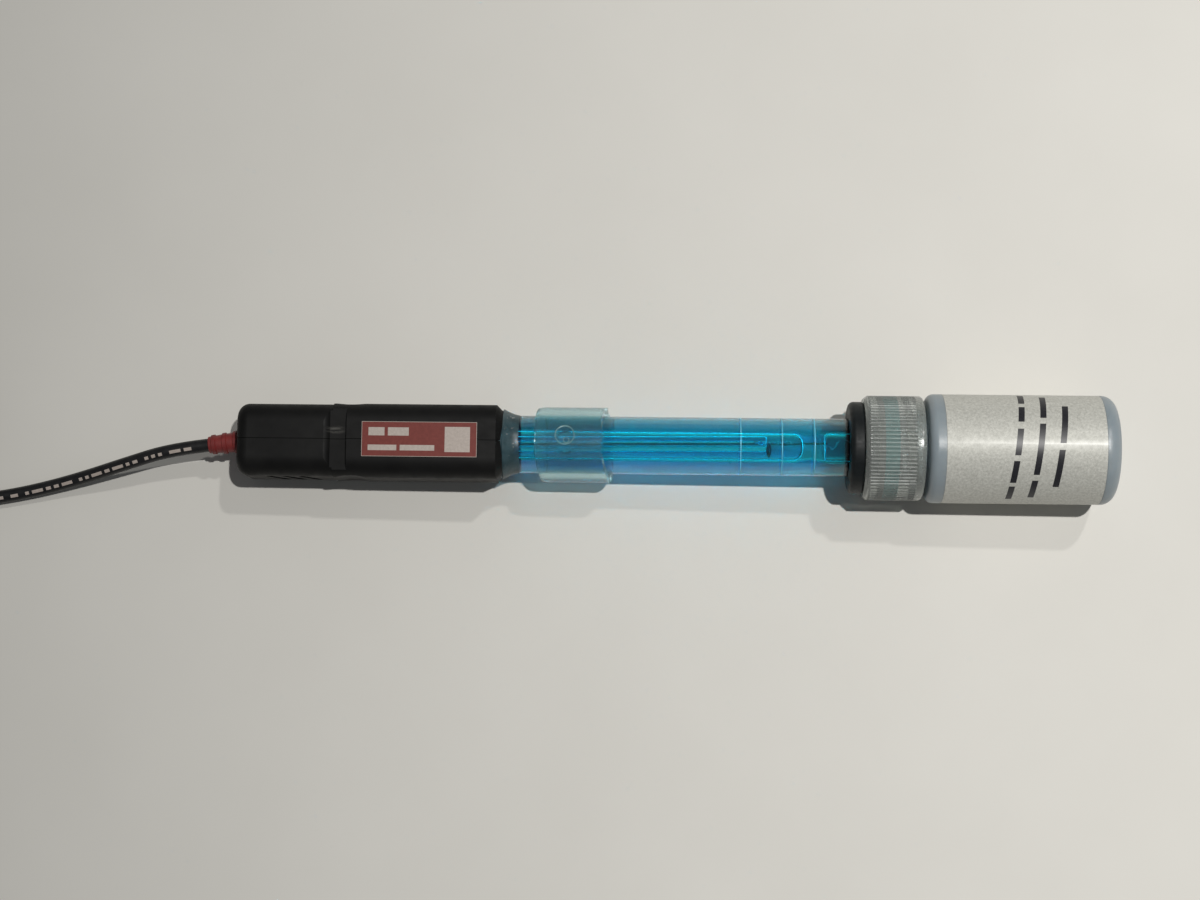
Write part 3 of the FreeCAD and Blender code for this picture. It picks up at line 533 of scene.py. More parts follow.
# Satin film, pale with a fine sparkle under a thin clear coat
silver_film = mottled(
    "silver_film", (0.56, 0.56, 0.51), 0.55, ((0.45, 0.45, 0.41), (0.66, 0.66, 0.61)),
    (2.0, 4.0, 0.8), (0.5, 0.08, 1.7, 4.0, 0.7), (0.48, 0.62, 1.0, 4.0), span=(0.36, 0.66),
    Metallic=0.12, Specular_IOR_Level=0.4, Coat_Weight=0.22, Coat_Roughness=0.22)
white_ceramic = mottled(
    "white_ceramic", (0.78, 0.78, 0.75), 0.6, ((0.70, 0.70, 0.67), (0.84, 0.84, 0.82)),
    (2.0, 5.0, 0.7), (0.3, 0.05, 5.0, 4.0))


# Meshes
sharp_edge_deg = 35.0
at_axis = 1e-9


def add_piece(name, points, faces, surface, body, sharp_deg=sharp_edge_deg, hollow=False):
    """Closed mesh with its normals outward, or inward for a hollow in a clear piece."""
    mesh = bpy.data.meshes.new(name)
    mesh.from_pydata([tuple(p) for p in points], [], faces)
    shape = bmesh.new()
    shape.from_mesh(mesh)
    bmesh.ops.recalc_face_normals(shape, faces=shape.faces)
    if hollow:
        bmesh.ops.reverse_faces(shape, faces=shape.faces)
    shape.to_mesh(mesh)
    shape.free()
    mesh.materials.append(surface)
    mesh.shade_smooth()
    mesh.set_sharp_from_angle(angle=math.radians(sharp_deg))
    piece = new_object(name, mesh)
    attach(piece, body)
    return piece


def rounded(outline, steps=6):
    """Replace each (u, r, corner radius) point of a closed outline by an arc on its two sides."""
    result = []
    count = len(outline)
    for i, corner in enumerate(outline):
        here = Vector(corner[:2])
        radius = corner[2] if len(corner) > 2 else 0.0
        if radius <= 0:
            result.append(here)
            continue
        back = (Vector(outline[i - 1][:2]) - here).normalized()
        ahead = (Vector(outline[(i + 1) % count][:2]) - here).normalized()
        half = back.angle(ahead) / 2
        reach = radius / math.tan(half)
        centre = here + (back + ahead).normalized() * (radius / math.sin(half))
        start = here + back * reach - centre
        sweep = start.angle_signed(here + ahead * reach - centre)
        for k in range(steps + 1):
            result.append(centre + Matrix.Rotation(-sweep * k / steps, 2) @ start)
    return result


def held(ring, longest=1.5, gap=0.12):
    """Add a point close to each end of every long side, so that its shading stays straight."""
    result = []
    for here, following in zip(ring, ring[1:] + ring[:1]):
        result.append(here)
        run = following - here
        if run.length > longest and max(abs(here.y), abs(following.y)) > at_axis:
            step = run.normalized() * gap
            result += [here + step, following - step]
    return result


def lathe(name, outline, surface, body, turns=96, moved=None, at_point=around):
    """Closed solid of revolution from a closed outline of (u, r) points.

    moved may shift each point, and at_point gives its place from u, r and the turn.
    """
    ring = held(rounded(outline))
    points, faces, rows = [], [], []
    for u, radius in ring:
        if abs(radius) < at_axis:
            rows.append([len(points)] * turns)
            points.append(at_point(u, 0.0, 0.0))
            continue
        rows.append(list(range(len(points), len(points) + turns)))
        for angle in circle(turns):
            place = (u, radius) if moved is None else moved(u, radius, angle)
            points.append(at_point(place[0], place[1], angle))
    for a, b in zip(rows, rows[1:] + rows[:1]):
        for k in range(turns):
            n = (k + 1) % turns
            corners = list(dict.fromkeys((a[k], a[n], b[n], b[k])))
            if len(corners) > 2:
                faces.append(corners)
    return add_piece(name, points, faces, surface, body)


def swept_faces(first, rows, wide, closed=False):
    """Quads from row to row of points, with a face at each end unless the rows form a loop."""
    faces = []
    for i in range(rows if closed else rows - 1):
        a, b = first + i * wide, first + (i + 1) % rows * wide
        for k in range(wide):
            n = (k + 1) % wide
            faces.append([a + k, a + n, b + n, b + k])
    if not closed:
        last = first + (rows - 1) * wide
        faces += [list(range(first, first + wide))[::-1], list(range(last, last + wide))]
    return faces


def tube_path(name, line, radii, surface, body, sides):
    """Closed tube along a list of points, with a radius for each and flat ends."""
    points = []
    normal = None
    for i, here in enumerate(line):
        tangent = (line[min(i + 1, len(line) - 1)] - line[max(i - 1, 0)]).normalized()
        if normal is None:
            normal = tangent.orthogonal().normalized()
        normal = (normal - tangent * normal.dot(tangent)).normalized()
        other = tangent.cross(normal)
        for angle in circle(sides):
            points.append(here + (normal * math.cos(angle) + other * math.sin(angle)) * radii[i])
    return add_piece(name, points, swept_faces(0, len(line), sides), surface, body, 60.0)


def helix_ridge(name, root_radius, tip_radius, start_u, end_u, phase, surface, body):
    """Right-handed thread ridge with a flat crest that runs out at both ends."""
    turns = (end_u - start_u) / thread_pitch
    steps = int(72 * turns)
    points = []
    for i in range(steps + 1):
        progress = i / steps
        fade = min(1.0, progress / thread_run_out, (1 - progress) / thread_run_out)
        crest = root_radius + (tip_radius - root_radius) * max(fade, 0.02)
        u = start_u + (end_u - start_u) * progress
        turn = -(2 * math.pi * turns * progress + phase)
        for width, radius in ((-thread_root_width, root_radius), (-thread_crest_width, crest),
                              (thread_crest_width, crest), (thread_root_width, root_radius)):
            points.append(around(u + width / 2, radius, turn))
    return add_piece(name, points, swept_faces(0, steps + 1, 4), surface, body)


def line_of(curve):
    """Points along a curve that has no thickness; the curve isn't kept."""
    holder = bpy.data.objects.new("bare_line", curve)
    mesh = bpy.data.meshes.new_from_object(holder)
    line = [v.co.copy() for v in mesh.vertices]
    bpy.data.objects.remove(holder)
    bpy.data.curves.remove(curve)
    bpy.data.meshes.remove(mesh)
    return line


def leaning(u):
    """Point on the line of the leaning sheath and wire."""
    slope = capillary_lean / (capillary_end - capillary_start)
    return on_axis(u, slope * (u - capillary_start))


def dress(name, surface):
    """Give a node that keeps its own mesh its finish."""
    data = frame["nodes"][name].data
    data.materials.clear()
    data.materials.append(surface)


# Cable
coil_centre = Vector((-163.6, 3.7, 0.0))
coil_spacing = 2.85
coil_middle_radius = 14.25
coil_low = 1.4
coil_high = 9.95
coil_points_per_turn = 24
coil_first_deg = -90.0
coil_change_deg = 60.0
coil_last_deg = -38.0
coil_full_column_deg = 1080.0
tie_hump = 0.75
tie_hump_deg = 26.0
cable_route = [(-112.0, -4.9, 5.7), (-123.0, -8.2, 2.7), (-134.0, -11.0, 1.5),
               (-144.5, -12.75, 1.42), (-155.0, -13.4, 1.4)]
lead_route = [(6.9, -9.8, 9.9), (-3.0, -11.7, 12.7), (-13.5, -11.9, 13.0), (-24.0, -10.9, 9.9),
              (-34.5, -9.4, 5.2), (-46.0, -8.0, 1.95)]
plug_lead_in = 5.0
plug_cable_depth = 6.0
plug_length = 41.94
print_start = 3.5
print_end = 62.0
print_lean = 0.3
print_across = (-0.24, 0.0, 0.24)
dash_lengths = (0.8, 1.1, 1.6, 2.4)
dash_gaps = (0.7, 0.7, 1.6)


def coil_point(radius, height, degrees):
    """One of the coil's control points, lifted over the tie where it passes it."""
    off = (degrees + 180.0) % 360.0 - 180.0
    lift = tie_hump * math.exp(-(off / tie_hump_deg) ** 2)
    reach = radius / math.cos(math.pi / coil_points_per_turn)
    angle = math.radians(degrees)
    return coil_centre + Vector((reach * math.cos(angle), reach * math.sin(angle), height + lift))


def coil_points():
    """Three nested helices, wound clockwise: up outside, down in the middle and up again inside."""
    step = 360.0 / coil_points_per_turn
    outer, inner = coil_middle_radius + coil_spacing, coil_middle_radius - coil_spacing
    last_sweep = 720.0 + (coil_first_deg - 2 * coil_change_deg - coil_last_deg) % 360.0
    columns = ((outer, coil_low, coil_high, coil_full_column_deg),
               (coil_middle_radius, coil_high, coil_low, coil_full_column_deg),
               (inner, coil_low, coil_high, last_sweep))
    places = []
    angle = coil_first_deg
    for number, (radius, low, high, sweep) in enumerate(columns):
        count = round(sweep / step)
        for i in range(count + 1):
            share = i / count
            places.append(coil_point(radius, low + (high - low) * share, angle - sweep * share))
        angle -= sweep
        if number < 2:
            following = columns[number + 1][0]
            changes = round(coil_change_deg / step)
            for i in range(1, changes):
                share = i / changes
                eased = share * share * (3 - 2 * share)
                places.append(coil_point(radius + (following - radius) * eased, high,
                                         angle - coil_change_deg * share))
            angle -= coil_change_deg
    return places


def cable_points():
    """From the relief's nose down to the bench, round the coil and on into the plug's rear."""
    nose = on_axis(-relief_nose_length * math.cos(relief_yaw),
                   -relief_nose_length * math.sin(relief_yaw))
    way = (nose - on_axis(0.0)).normalized()
    points = [nose, nose + way * 8.0 * mm] + [Vector(p) * mm for p in cable_route]
    points += [p * mm for p in coil_points()]
    points += [(coil_centre + Vector(p)) * mm for p in lead_route]
    plug_end = Vector(mounts["signal_plug"]["pos_m"])
    plug_way = Vector(mounts["signal_plug"]["axis"]).normalized()
    rear = plug_end - plug_way * plug_length * mm
    return points + [rear - plug_way * plug_lead_in * mm, rear + plug_way * plug_cable_depth * mm]


def make_cable(surface):
    points = cable_points()
    data = bpy.data.curves.new("cable_lead_and_coil", "CURVE")
    data.dimensions = "3D"
    data.resolution_u = 6
    data.bevel_depth = cable_diameter / 2 * mm
    data.bevel_resolution = 5
    data.use_fill_caps = True
    spline = data.splines.new("NURBS")
    spline.points.add(len(points) - 1)
    for control, point in zip(spline.points, points):
        control.co = (*point, 1.0)
    spline.order_u = 3
    spline.use_endpoint_u = True
    data.materials.append(surface)
    cable = new_object("cable_lead_and_coil", data)
    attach(cable, "electrode")
    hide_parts("cable", "cable_lead", "cable_coil")
    return cable


def centre_line(cable):
    """Points along the cable's own spline, read from a copy with no thickness."""
    bare = cable.data.copy()
    bare.bevel_depth = 0.0
    return line_of(bare)


def point_along(line, distance):
    """Point and direction at a distance along a line."""
    for a, b in zip(line, line[1:]):
        run = (b - a).length
        if distance <= run:
            return a + (b - a) * (distance / run), (b - a).normalized()
        distance -= run
    return line[-1], (line[-1] - line[-2]).normalized()


def cable_print(line, surface):
    """Plain pale dashes printed along the top of the sheath."""
    draw = random.Random(7)
    points, faces = [], []
    low, high = (cable_diameter / 2 - print_sunk) * mm, (cable_diameter / 2 + print_raised) * mm
    ring = [(low, turn) for turn in print_across] + [(high, turn) for turn in print_across[::-1]]
    distance = print_start
    while distance < print_end:
        length = draw.choice(dash_lengths)
        count = max(2, int(length / 0.4))
        first = len(points)
        for i in range(count + 1):
            here, way = point_along(line, (distance + length * i / count) * mm)
            right = way.cross(Vector((0, 0, 1))).normalized()
            top = right.cross(way)
            for radius, turn in ring:
                angle = turn - print_lean
                spoke = top * math.cos(angle) + right * math.sin(angle)
                points.append(here + spoke * radius)
        faces += swept_faces(first, count + 1, len(ring))
        distance += length + draw.choice(dash_gaps)
    add_piece("cable_print", points, faces, surface, "electrode")


# Pieces of the electrode
# Painted caustic light: places of three pale rings round the tube, and their width
caustic_ring_places = (104.1, 112.6, 119.3)
caustic_ring_width = 0.17
hole_clearance = 2.6
neck_flat = 0.8
neck_round = 1.5
shoulder_round = 2.0
bore_end_round = 1.75
chamber_round = 0.5
rim_round = 0.25
sheath_bore_round = 0.2
sheath_rim_round = 0.45
wire_wander = 0.05
hair_radius = 0.05

# Small forms: bars on the handle's label as u and y from and to, rows on the bottle's label as u
# with each bar's turns, rings on the sleeve as u, y, radius and thickness, bubbles as u, y and size
handle_bars = ((27.6, 30.9, 0.7, 2.4), (31.6, 35.9, 0.7, 2.4), (27.5, 33.4, -2.35, -1.2),
               (34.1, 41.2, -2.35, -1.2), (43.3, 48.5, -2.6, 2.6))
bottle_bars = ((160.2, ((-70, -48), (-43, -18), (-12, 16), (24, 44), (50, 72))),
               (164.6, ((-66, -40), (-33, 22), (29, 66))),
               (169.0, ((-48, -6), (1, 46))))
bottle_bar_width = 1.24
bottle_bar_slant = 1.35
sleeve_rings = ((67.9, 1.25, 1.95, 0.15), (68.2, 0.15, 0.55, 0.13))
wire_bubbles_reach = (107.2, 115.6)
lone_bubbles = ((102.0, -2.9, 0.2), (75.7, -2.7, 0.24))
sheath_end_place = (110.0, -0.50, 0.1)
sheath_end_radii = (0.55, 1.2, 1.1)


def make_body_tube(surface):
    """Clear tube with its bore, closed tip and round refill hole."""
    floor = tube_end - tube_floor
    hole_start = refill_hole_place - hole_clearance
    hole_end = refill_hole_place + hole_clearance
    outline = [(tube_start, tube_bore_radius), (hole_start, tube_bore_radius),
               (hole_end, tube_bore_radius), (floor, tube_bore_radius, tube_floor_corner),
               (floor, tip_junction_bore), (tube_end, tip_junction_bore),
               (tube_end, tube_radius, tube_tip_round), (hole_end, tube_radius),
               (hole_start, tube_radius), (tube_start, tube_radius)]
    tube = lathe("clear_body_tube", outline, surface, "electrode", 128)
    sides = 48
    middle = on_axis(refill_hole_place)
    corners = []
    for height in (1.0, tube_radius + 2.0):
        for angle in circle(sides):
            spoke = (along * math.cos(angle) + side * math.sin(angle)) * refill_hole_radius
            corners.append(middle + (spoke + up * height) * mm)
    hole = bpy.data.meshes.new("hole")
    hole.from_pydata([tuple(c) for c in corners], [], swept_faces(0, 2, sides))
    cutter = new_object("hole", hole)
    cut = tube.modifiers.new("cut", "BOOLEAN")
    cut.operation = "DIFFERENCE"
    cut.solver = "EXACT"
    cut.object = cutter
    bpy.context.view_layer.update()
    depsgraph = bpy.context.evaluated_depsgraph_get()
    drilled = bpy.data.meshes.new_from_object(tube.evaluated_get(depsgraph))
    tube.modifiers.clear()
    tube.data = drilled
    drilled.set_sharp_from_angle(angle=math.radians(sharp_edge_deg))
    bpy.data.objects.remove(cutter)
    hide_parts("body_tube")


def band(start, end, low, high):
    return [(start, low), (start, high), (end, high), (end, low)]


def make_painted_caustic_rings(surface):
    """Three fine pale rings round the tube, painted light that stands in for bright caustic rings
    focused by the glassware.
    """
    low, high = tube_radius - 0.02, tube_radius + 0.015
    for number, u in enumerate(caustic_ring_places):
        ring = band(u - caustic_ring_width / 2, u + caustic_ring_width / 2, low, high)
        lathe(f"painted_caustic_ring_{number + 1}", ring, surface, "electrode", 96)


def drawn_neck(chamber, neck, upper):
    """Line round the glass tube's drawn neck, from chamber to upper part, by their radii."""
    return [(neck_end, chamber, shoulder_round), (neck_narrowest + neck_flat, neck, neck_round),
            (neck_narrowest - neck_flat, neck, neck_round), (neck_start, upper, shoulder_round)]


def make_fill_liquid(surface):
    """Blue liquid between tube and glassware, wetting both walls."""
    floor = tube_end - tube_floor + wetting
    outer = tube_bore_radius + wetting
    inner = inner_tube_radius - wetting
    chamber = chamber_radius - wetting
    outline = [(stopper_end, inner), (stopper_end, outer), (floor, outer, tube_floor_corner),
               (floor, 0.0), (inner_tube_end - wetting, 0.0), (inner_tube_end - wetting, chamber)]
    outline += drawn_neck(chamber, neck_radius - wetting, inner)
    liquid = lathe("fill_liquid", outline, surface, "electrode", 128)
    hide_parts("fill_solution")


def make_glass_tube(surface):
    """Blown glass tube: upper bore, drawn neck, lower chamber."""
    outline = [(inner_tube_start, inner_tube_bore_radius),
               (upper_bore_end, inner_tube_bore_radius, bore_end_round), (upper_bore_end, 0.0),
               (chamber_start, 0.0), (chamber_start, chamber_bore_radius, chamber_round),
               (inner_tube_end, chamber_bore_radius), (inner_tube_end, chamber_radius, rim_round)]
    outline += drawn_neck(chamber_radius, neck_radius, inner_tube_radius)
    outline.append((inner_tube_start, inner_tube_radius, rim_round))
    glass = lathe("glass_tube", outline, surface, "electrode", 96)
    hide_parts("inner_glass_tube")


def make_inner_liquids(surface):
    radius, end = inner_tube_bore_radius + wetting, upper_bore_end + wetting
    upper = lathe("inner_liquid", [(stopper_end, 0.0), (stopper_end, radius),
                                   (end, radius, bore_end_round), (end, 0.0)],
                  surface, "electrode", 96)
    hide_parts("inner_solution")
    radius, start = chamber_bore_radius + wetting, chamber_start - wetting
    end = inner_tube_end - junction_plug_length
    lower = lathe("chamber_liquid", [(start, 0.0), (start, radius, chamber_round),
                                     (end, radius), (end, 0.0)],
                  surface, "electrode", 96)
    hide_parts("bridge_solution")


def make_capillary(surface):
    """Glass sheath round the wire, its far end fire polished to a rounded rim."""
    def leaned(u, radius, turn):
        return leaning(u) + (side * math.sin(turn) + up * math.cos(turn)) * radius * mm
    outline = [(capillary_start, capillary_bore_radius),
               (capillary_end, capillary_bore_radius, sheath_bore_round),
               (capillary_end, capillary_radius, sheath_rim_round),
               (capillary_start, capillary_radius)]
    sheath = lathe("glass_sheath", outline, surface, "electrode", 64, at_point=leaned)
    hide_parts("capillary")


def make_wire(surface):
    """Thin wire, straight in the sheath and slightly bent past its end."""
    draw = random.Random(3)
    line, radii = [], []
    count = 90
    for i in range(count + 1):
        u = wire_start + (wire_end - wire_start) * i / count
        free = 1.0 if u > capillary_end + 1 else 0.0
        wander = Vector((0, draw.uniform(-1, 1), draw.uniform(-1, 1))) * wire_wander * free
        line.append(leaning(u) + (side * wander.y + up * wander.z) * mm)
        radii.append(wire_radius * (0.6 + 0.5 * free * draw.random() ** 2) * mm)
    wire = tube_path("bare_wire", line, radii, surface, "electrode", 14)
    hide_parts("copper_wire")


def make_thread(surface):
    """Fine hair that curls in the lower chamber before it runs on to the porous plug."""
    knots = [(122.5, 0.3, 0.0), (123.2, -0.9, 0.5), (124.0, 0.6, 1.2), (125.0, 1.5, 0.6),
             (126.4, 1.2, -0.6), (128.5, -0.2, -1.2), (132.0, -0.9, -0.4), (138.0, 0.2, 0.5),
             (146.0, 0.0, 0.0), (inner_tube_end - junction_plug_length, 0.0, 0.0)]
    data = bpy.data.curves.new("hair_line", "CURVE")
    data.dimensions = "3D"
    data.resolution_u = 8
    spline = data.splines.new("NURBS")
    spline.points.add(len(knots) - 1)
    for control, knot in zip(spline.points, knots):
        control.co = (*on_axis(*knot), 1.0)
    spline.order_u = 4
    spline.use_endpoint_u = True
    line = line_of(data)
    radii = [hair_radius * mm] * len(line)
    hair = tube_path("hair_thread", line, radii, surface, "electrode", 8)
    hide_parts("junction_thread")


def bead_height(share):
    """Height of the resin bead along the tube, from 1 at the handle to 0 at its far edge."""
    return 0.25 * (1 - share) + 0.75 * (1 - math.sin(math.pi / 2 * share))


def make_potting(surface):
    """Cast resin with an uneven bead on the tube in front of the handle."""
    wobble = random.Random(11)
    phases = [wobble.uniform(0, 2 * math.pi) for _ in range(4)]

    def moved(u, radius, turn):
        if u < handle_length + 0.2 or radius < tube_radius + 0.05:
            return u, radius
        wave = sum(math.sin((k + 2) * turn + p) / (k + 2) for k, p in enumerate(phases))
        return u + 0.22 * wave, radius + 0.05 * wave * (radius - tube_radius)
    inner = tube_radius + 0.02
    outline = [(potting_start, inner), (potting_start, potting_pocket_radius),
               (handle_length - 0.3, potting_pocket_radius),
               (handle_length + 0.03, potting_bead_radius)]
    steps = 10
    for k in range(1, steps + 1):
        share = k / steps
        outline.append((handle_length + (potting_bead_end - handle_length) * share,
                        inner + 0.04 + (potting_bead_radius - inner) * bead_height(share)))
    outline.append((potting_bead_end, inner))
    collar = lathe("resin_collar", outline, surface, "electrode", 96, moved)
    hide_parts("potting_collar")


def make_sleeve(surface):
    """Soft sleeve cut askew at both ends, with slightly uneven cut edges."""
    slant = math.tan(math.radians(sleeve_slant_deg))
    yaw = math.tan(math.radians(sleeve_yaw_deg))
    middle = (sleeve_start + sleeve_end) / 2
    length = sleeve_end - sleeve_start

    def moved(u, radius, turn):
        share = (u - middle) / (sleeve_end - middle)
        askew = (-slant * math.cos(turn) - yaw * math.sin(turn)) * radius
        ripple = 0.16 * math.sin(5 * turn + 0.7) + 0.08 * math.sin(9 * turn)
        strength = abs(share) ** 1.5 * (1 if share > 0 else 0.4)
        swell = 0.06 * math.sin(3 * turn + 1.0) * (1 if radius > 7 else 0)
        return u + askew + ripple * strength, radius + swell
    count = 10
    outline = [(sleeve_start, sleeve_bore), (sleeve_end, sleeve_bore), (sleeve_end, sleeve_radius)]
    outline += [(sleeve_end - length * k / count, sleeve_radius) for k in range(1, count)]
    outline.append((sleeve_start, sleeve_radius - 0.15, 0.12))
    sleeve = lathe("soft_sleeve", outline, surface, "sleeve", 128, moved)
    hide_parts("refill_sleeve")


def flat_bar(points, faces, u0, u1, y0, y1, height):
    """Thin plate on top of the handle's label, between two places each way."""
    first = len(points)
    for w in (height, height + print_raised):
        points += [on_axis(u0, y0, w), on_axis(u1, y0, w), on_axis(u1, y1, w), on_axis(u0, y1, w)]
    faces += swept_faces(first, 2, 4)


def handle_label_bars(surface):
    """Plain pale bars and a plain pale field on the red plate, and its pale cut edge."""
    edge = 0.09
    u0, u1, y1 = handle_label_start, handle_label_end, handle_label_width / 2
    borders = ((u0, u1, y1 - edge, y1), (u0, u1, -y1, edge - y1),
               (u0, u0 + edge, edge - y1, y1 - edge), (u1 - edge, u1, edge - y1, y1 - edge))
    points, faces = [], []
    for sides in handle_bars + borders:
        flat_bar(points, faces, *sides, handle_label_top)
    add_piece("handle_label_bars", points, faces, surface, "electrode")


def bottle_label_bars(surface):
    """Three slanted rows of plain black bars that run round the bottle."""
    low, high = bottle_label_radius - print_sunk, bottle_label_radius + print_raised
    half = bottle_bar_width / 2
    ring = ((-half, low), (half, low), (half, high), (-half, high))
    points, faces = [], []
    for u, bars in bottle_bars:
        for start, end in bars:
            count = max(2, (end - start) // 3)
            first = len(points)
            for i in range(count + 1):
                turn = math.radians(start + (end - start) * i / count)
                middle = u + bottle_bar_slant * math.sin(turn)
                points += [around(middle + edge, radius, turn) for edge, radius in ring]
            faces += swept_faces(first, count + 1, 4)
    add_piece("bottle_label_bars", points, faces, surface, "bottle")


def make_cap(surface):
    """Clear cap with fine grip ribs, a smooth rim and a hole for the grommet."""
    ribbed_from, ribbed_to = cap_rib_start + 0.2, cap_rib_end - 0.15
    inside = cap_start + cap_end_wall
    outline = [(cap_start, cap_hole_radius), (cap_start, cap_radius - cap_bevel, 0.3),
               (cap_rib_start, cap_radius), (ribbed_from, cap_radius), (ribbed_to, cap_radius),
               (cap_rib_end, cap_radius), (cap_end, cap_radius, cap_rim_round),
               (cap_end, cap_bore_radius), (inside, cap_bore_radius, 0.3),
               (inside, cap_hole_radius)]

    def moved(u, radius, turn):
        if radius > cap_radius - 0.01 and ribbed_from <= u <= ribbed_to:
            return u, radius - cap_rib_depth * (1 - abs(math.cos(cap_rib_count / 2 * turn)) ** 0.7)
        return u, radius
    cap = lathe("ribbed_cap", outline, surface, "cap", 8 * cap_rib_count, moved)
    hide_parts("screw_cap")


def make_seals(washer_surface, ring_surface):
    """Washer and ring, pressed against the inside of the cap."""
    bore, outer = tube_radius + 0.05, cap_bore_radius + wetting
    washer = lathe("pale_washer", band(washer_start, washer_end, bore, outer),
                   washer_surface, "seal", 128)
    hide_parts("slip_washer")
    ring = lathe("teal_ring", band(ring_start, ring_end, bore, outer),
                 ring_surface, "seal", 128)
    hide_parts("compression_ring")


def make_sleeve_marks(surface):
    """Two small moulded rings on top of the sleeve."""
    points, faces = [], []
    count, sides = 40, 8
    for u, y, ring, thickness in sleeve_rings:
        first = len(points)
        for angle in circle(count):
            for turn in circle(sides):
                reach = ring + thickness * math.cos(turn)
                lift = sleeve_radius + 0.02 + thickness * math.sin(turn)
                points.append(around(u + reach * math.cos(angle), lift,
                                     (y + reach * math.sin(angle)) / sleeve_radius))
        faces += swept_faces(first, count, sides, closed=True)
    add_piece("sleeve_marks", points, faces, surface, "sleeve")


def ball(points, faces, centre, radii, rings=8, sides=12):
    """Add a small closed ellipsoid."""
    first = len(points)
    points.append(centre + along * radii[0] * mm)
    for i in range(1, rings):
        polar = math.pi * i / rings
        for angle in circle(sides):
            points.append(centre + (along * math.cos(polar) * radii[0]
                                    + side * math.sin(polar) * math.cos(angle) * radii[1]
                                    + up * math.sin(polar) * math.sin(angle) * radii[2]) * mm)
    points.append(centre - along * radii[0] * mm)
    last = len(points) - 1
    for k in range(sides):
        n = (k + 1) % sides
        faces.append([first, first + 1 + k, first + 1 + n])
        faces.append([last, last - sides + n, last - sides + k])
        for i in range(rings - 2):
            a = first + 1 + i * sides
            faces.append([a + k, a + sides + k, a + sides + n, a + n])


def make_bubbles(surface):
    """Small air bubbles along the wire and in the blue liquid."""
    draw = random.Random(21)
    points, faces = [], []
    for _ in range(16):
        u = draw.uniform(*wire_bubbles_reach)
        size = draw.uniform(0.14, 0.30) * (1.3 if u < 111 else 1.0)
        ball(points, faces, on_axis(u, draw.uniform(0.35, 0.75), draw.uniform(0.7, 1.2)),
             (size * draw.uniform(0.9, 1.9), size, size))
    for u, y, size in lone_bubbles:
        ball(points, faces, on_axis(u, y, 1.4), (size * 1.3, size, size))
    add_piece("air_bubbles", points, faces, surface, "electrode", hollow=True)


def make_sheath_end(surface):
    """Dark rounded end of the glass sheath."""
    points, faces = [], []
    ball(points, faces, on_axis(*sheath_end_place), sheath_end_radii, 12, 20)
    add_piece("sheath_end", points, faces, surface, "electrode")


def make_resin_specks(surface):
    """Small pale specks in the face of the cast resin."""
    draw = random.Random(5)
    points, faces = [], []
    for _ in range(14):
        turn = draw.uniform(-0.5, 1.0)
        u = draw.uniform(handle_length + 0.5, handle_length + 2.4)
        share = (u - handle_length) / (potting_bead_end - handle_length)
        radius = tube_radius + 0.05 + (potting_bead_radius - tube_radius) * bead_height(share)
        size = draw.uniform(0.05, 0.11)
        ball(points, faces, around(u, radius, turn), (size, size, size), 6, 8)
    add_piece("resin_specks", points, faces, surface, "electrode")


def make_threads(cap_surface, bottle_surface):
    start, end = bottle_mouth + 0.7, bottle_shoulder - 0.9
    helix_ridge("bottle_thread", bottle_neck_radius - wetting, bottle_neck_radius + thread_depth,
                start, end, 0.0, bottle_surface, "bottle")
    helix_ridge("cap_thread", cap_bore_radius + wetting, cap_bore_radius - thread_depth,
                start, cap_end - 1.2, math.pi, cap_surface, "cap")


# The scene: camera, lights and floor, then the cable, then the other pieces
make_camera()
make_lights()

far = 1.5
floor_mesh = bpy.data.meshes.new("floor")
floor_mesh.from_pydata([(-far, -far, 0), (far, -far, 0), (far, far, 0), (-far, far, 0)], [],
                       [[0, 1, 2, 3]])
floor_mesh.materials.append(floor_surface)
floor = new_object("floor", floor_mesh)

cable = make_cable(cable_sheath)
cable_print(centre_line(cable), pale_ink)

cap_finish = cap_plastic()
nickel = plated_metal("nickel_plate", (0.55, 0.54, 0.51), (0.66, 0.65, 0.62), 0.22)
handle_finish = handle_plastic()

make_body_tube(clear_plastic())
make_painted_caustic_rings(caustic_ring_paint())
make_fill_liquid(blue_liquid("fill_blue", (0.24, 0.61, 0.76)))
make_glass_tube(clear_glass())
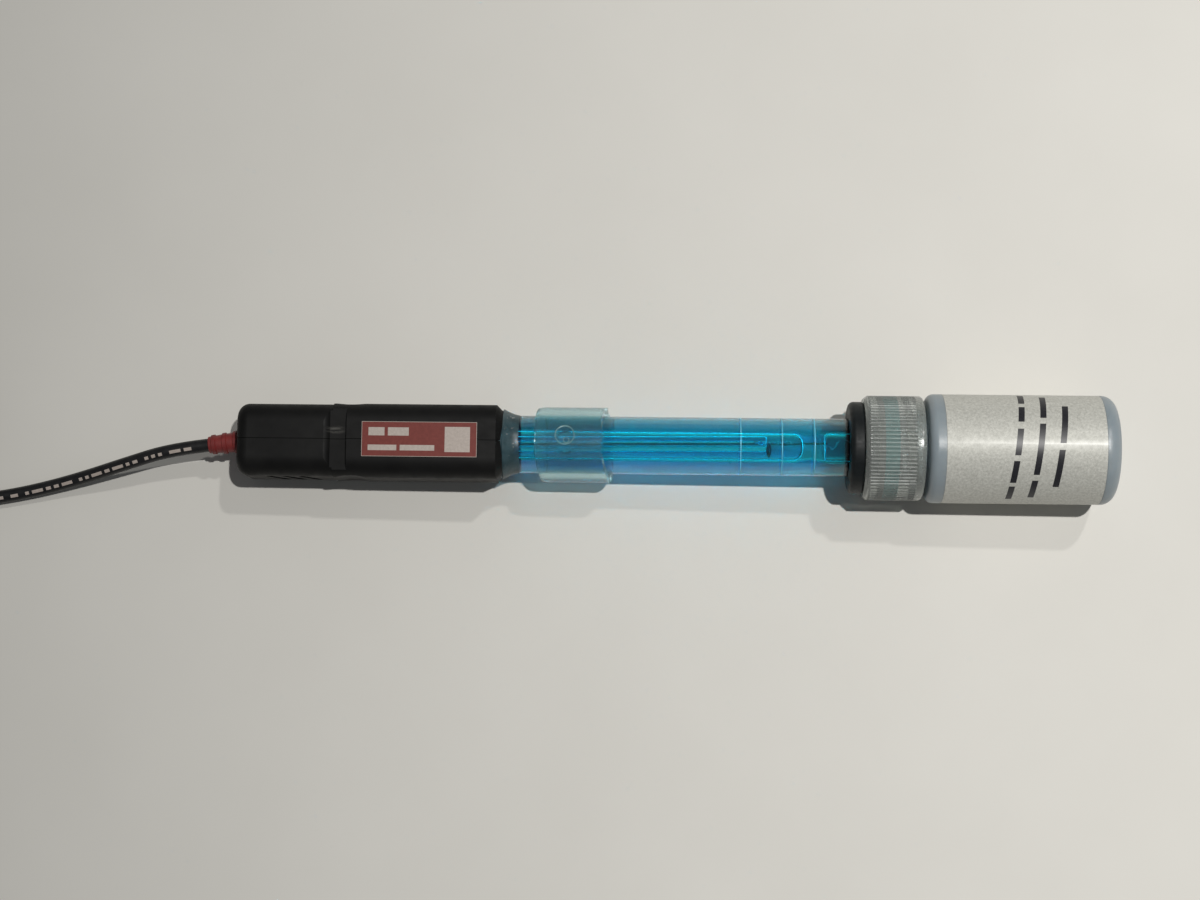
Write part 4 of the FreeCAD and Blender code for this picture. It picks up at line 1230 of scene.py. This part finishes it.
# The inner liquid carries a painted glint at its rim
make_inner_liquids(blue_liquid("inner_blue", (0.70, 0.84, 0.92), (2.0, 7.0, 8.0)))
make_bubbles(air_in_liquid())
make_capillary(sheath_glass())
make_sheath_end(soft_rubber("dark_end", (0.004, 0.020, 0.026), (0.010, 0.045, 0.055), 0.4))
make_wire(plated_metal("dark_copper", (0.20, 0.10, 0.07), (0.34, 0.17, 0.11), 0.35))
make_thread(soft_rubber("pale_thread", (0.45, 0.60, 0.62), (0.60, 0.75, 0.76), 0.6))
make_potting(cloudy_resin())
make_resin_specks(white_ceramic)
make_sleeve(cloudy_silicone())
make_sleeve_marks(soft_rubber("silicone_mark", (0.10, 0.24, 0.26), (0.22, 0.38, 0.39), 0.3))
handle_label_bars(pale_ink)
bottle_label_bars(black_ink)
make_cap(cap_finish)
make_seals(soft_rubber("grey_washer", (0.15, 0.165, 0.155), (0.20, 0.22, 0.205)),
           soft_rubber("teal_rubber", (0.075, 0.25, 0.25), (0.11, 0.30, 0.30), 0.45))
make_threads(cap_finish, bottle_plastic)

finishes = {
    "handle_left_shell": handle_finish,
    "handle_right_shell": handle_finish,
    "handle_label": red_film,
    "strain_relief": red_rubber,
    "cable_tail": cable_sheath,
    "joint_sleeve": soft_rubber("shrink_tube", (0.015, 0.015, 0.016), (0.024, 0.024, 0.025), 0.45),
    "tube_stopper": soft_rubber("dark_stopper", (0.010, 0.022, 0.030), (0.020, 0.040, 0.050), 0.4),
    "inner_junction": white_ceramic,
    "tip_junction": white_ceramic,
    "storage_bottle": bottle_plastic,
    "bottle_label": silver_film,
    "seal_grommet": soft_rubber("black_rubber", (0.005, 0.007, 0.008), (0.010, 0.013, 0.014),
                                shine=0.25),
    "plug_boot": soft_rubber("boot_rubber", (0.012, 0.012, 0.013), (0.020, 0.020, 0.021)),
    "plug_ferrule": nickel,
    "plug_body": nickel,
    "plug_insulator": soft_rubber("white_insulator", (0.74, 0.74, 0.71), (0.80, 0.80, 0.78), 0.4),
    "plug_pin": plated_metal("gold_plate", (0.75, 0.52, 0.20), (0.85, 0.62, 0.28), 0.2),
    "plug_gasket": soft_rubber("red_gasket", (0.36, 0.06, 0.04), (0.44, 0.09, 0.06)),
    "coupling_ring": nickel,
    "coil_tie": soft_rubber("black_tie", (0.016, 0.016, 0.017), (0.024, 0.024, 0.025), 0.36),
}
for node_name, finish in finishes.items():
    dress(node_name, finish)
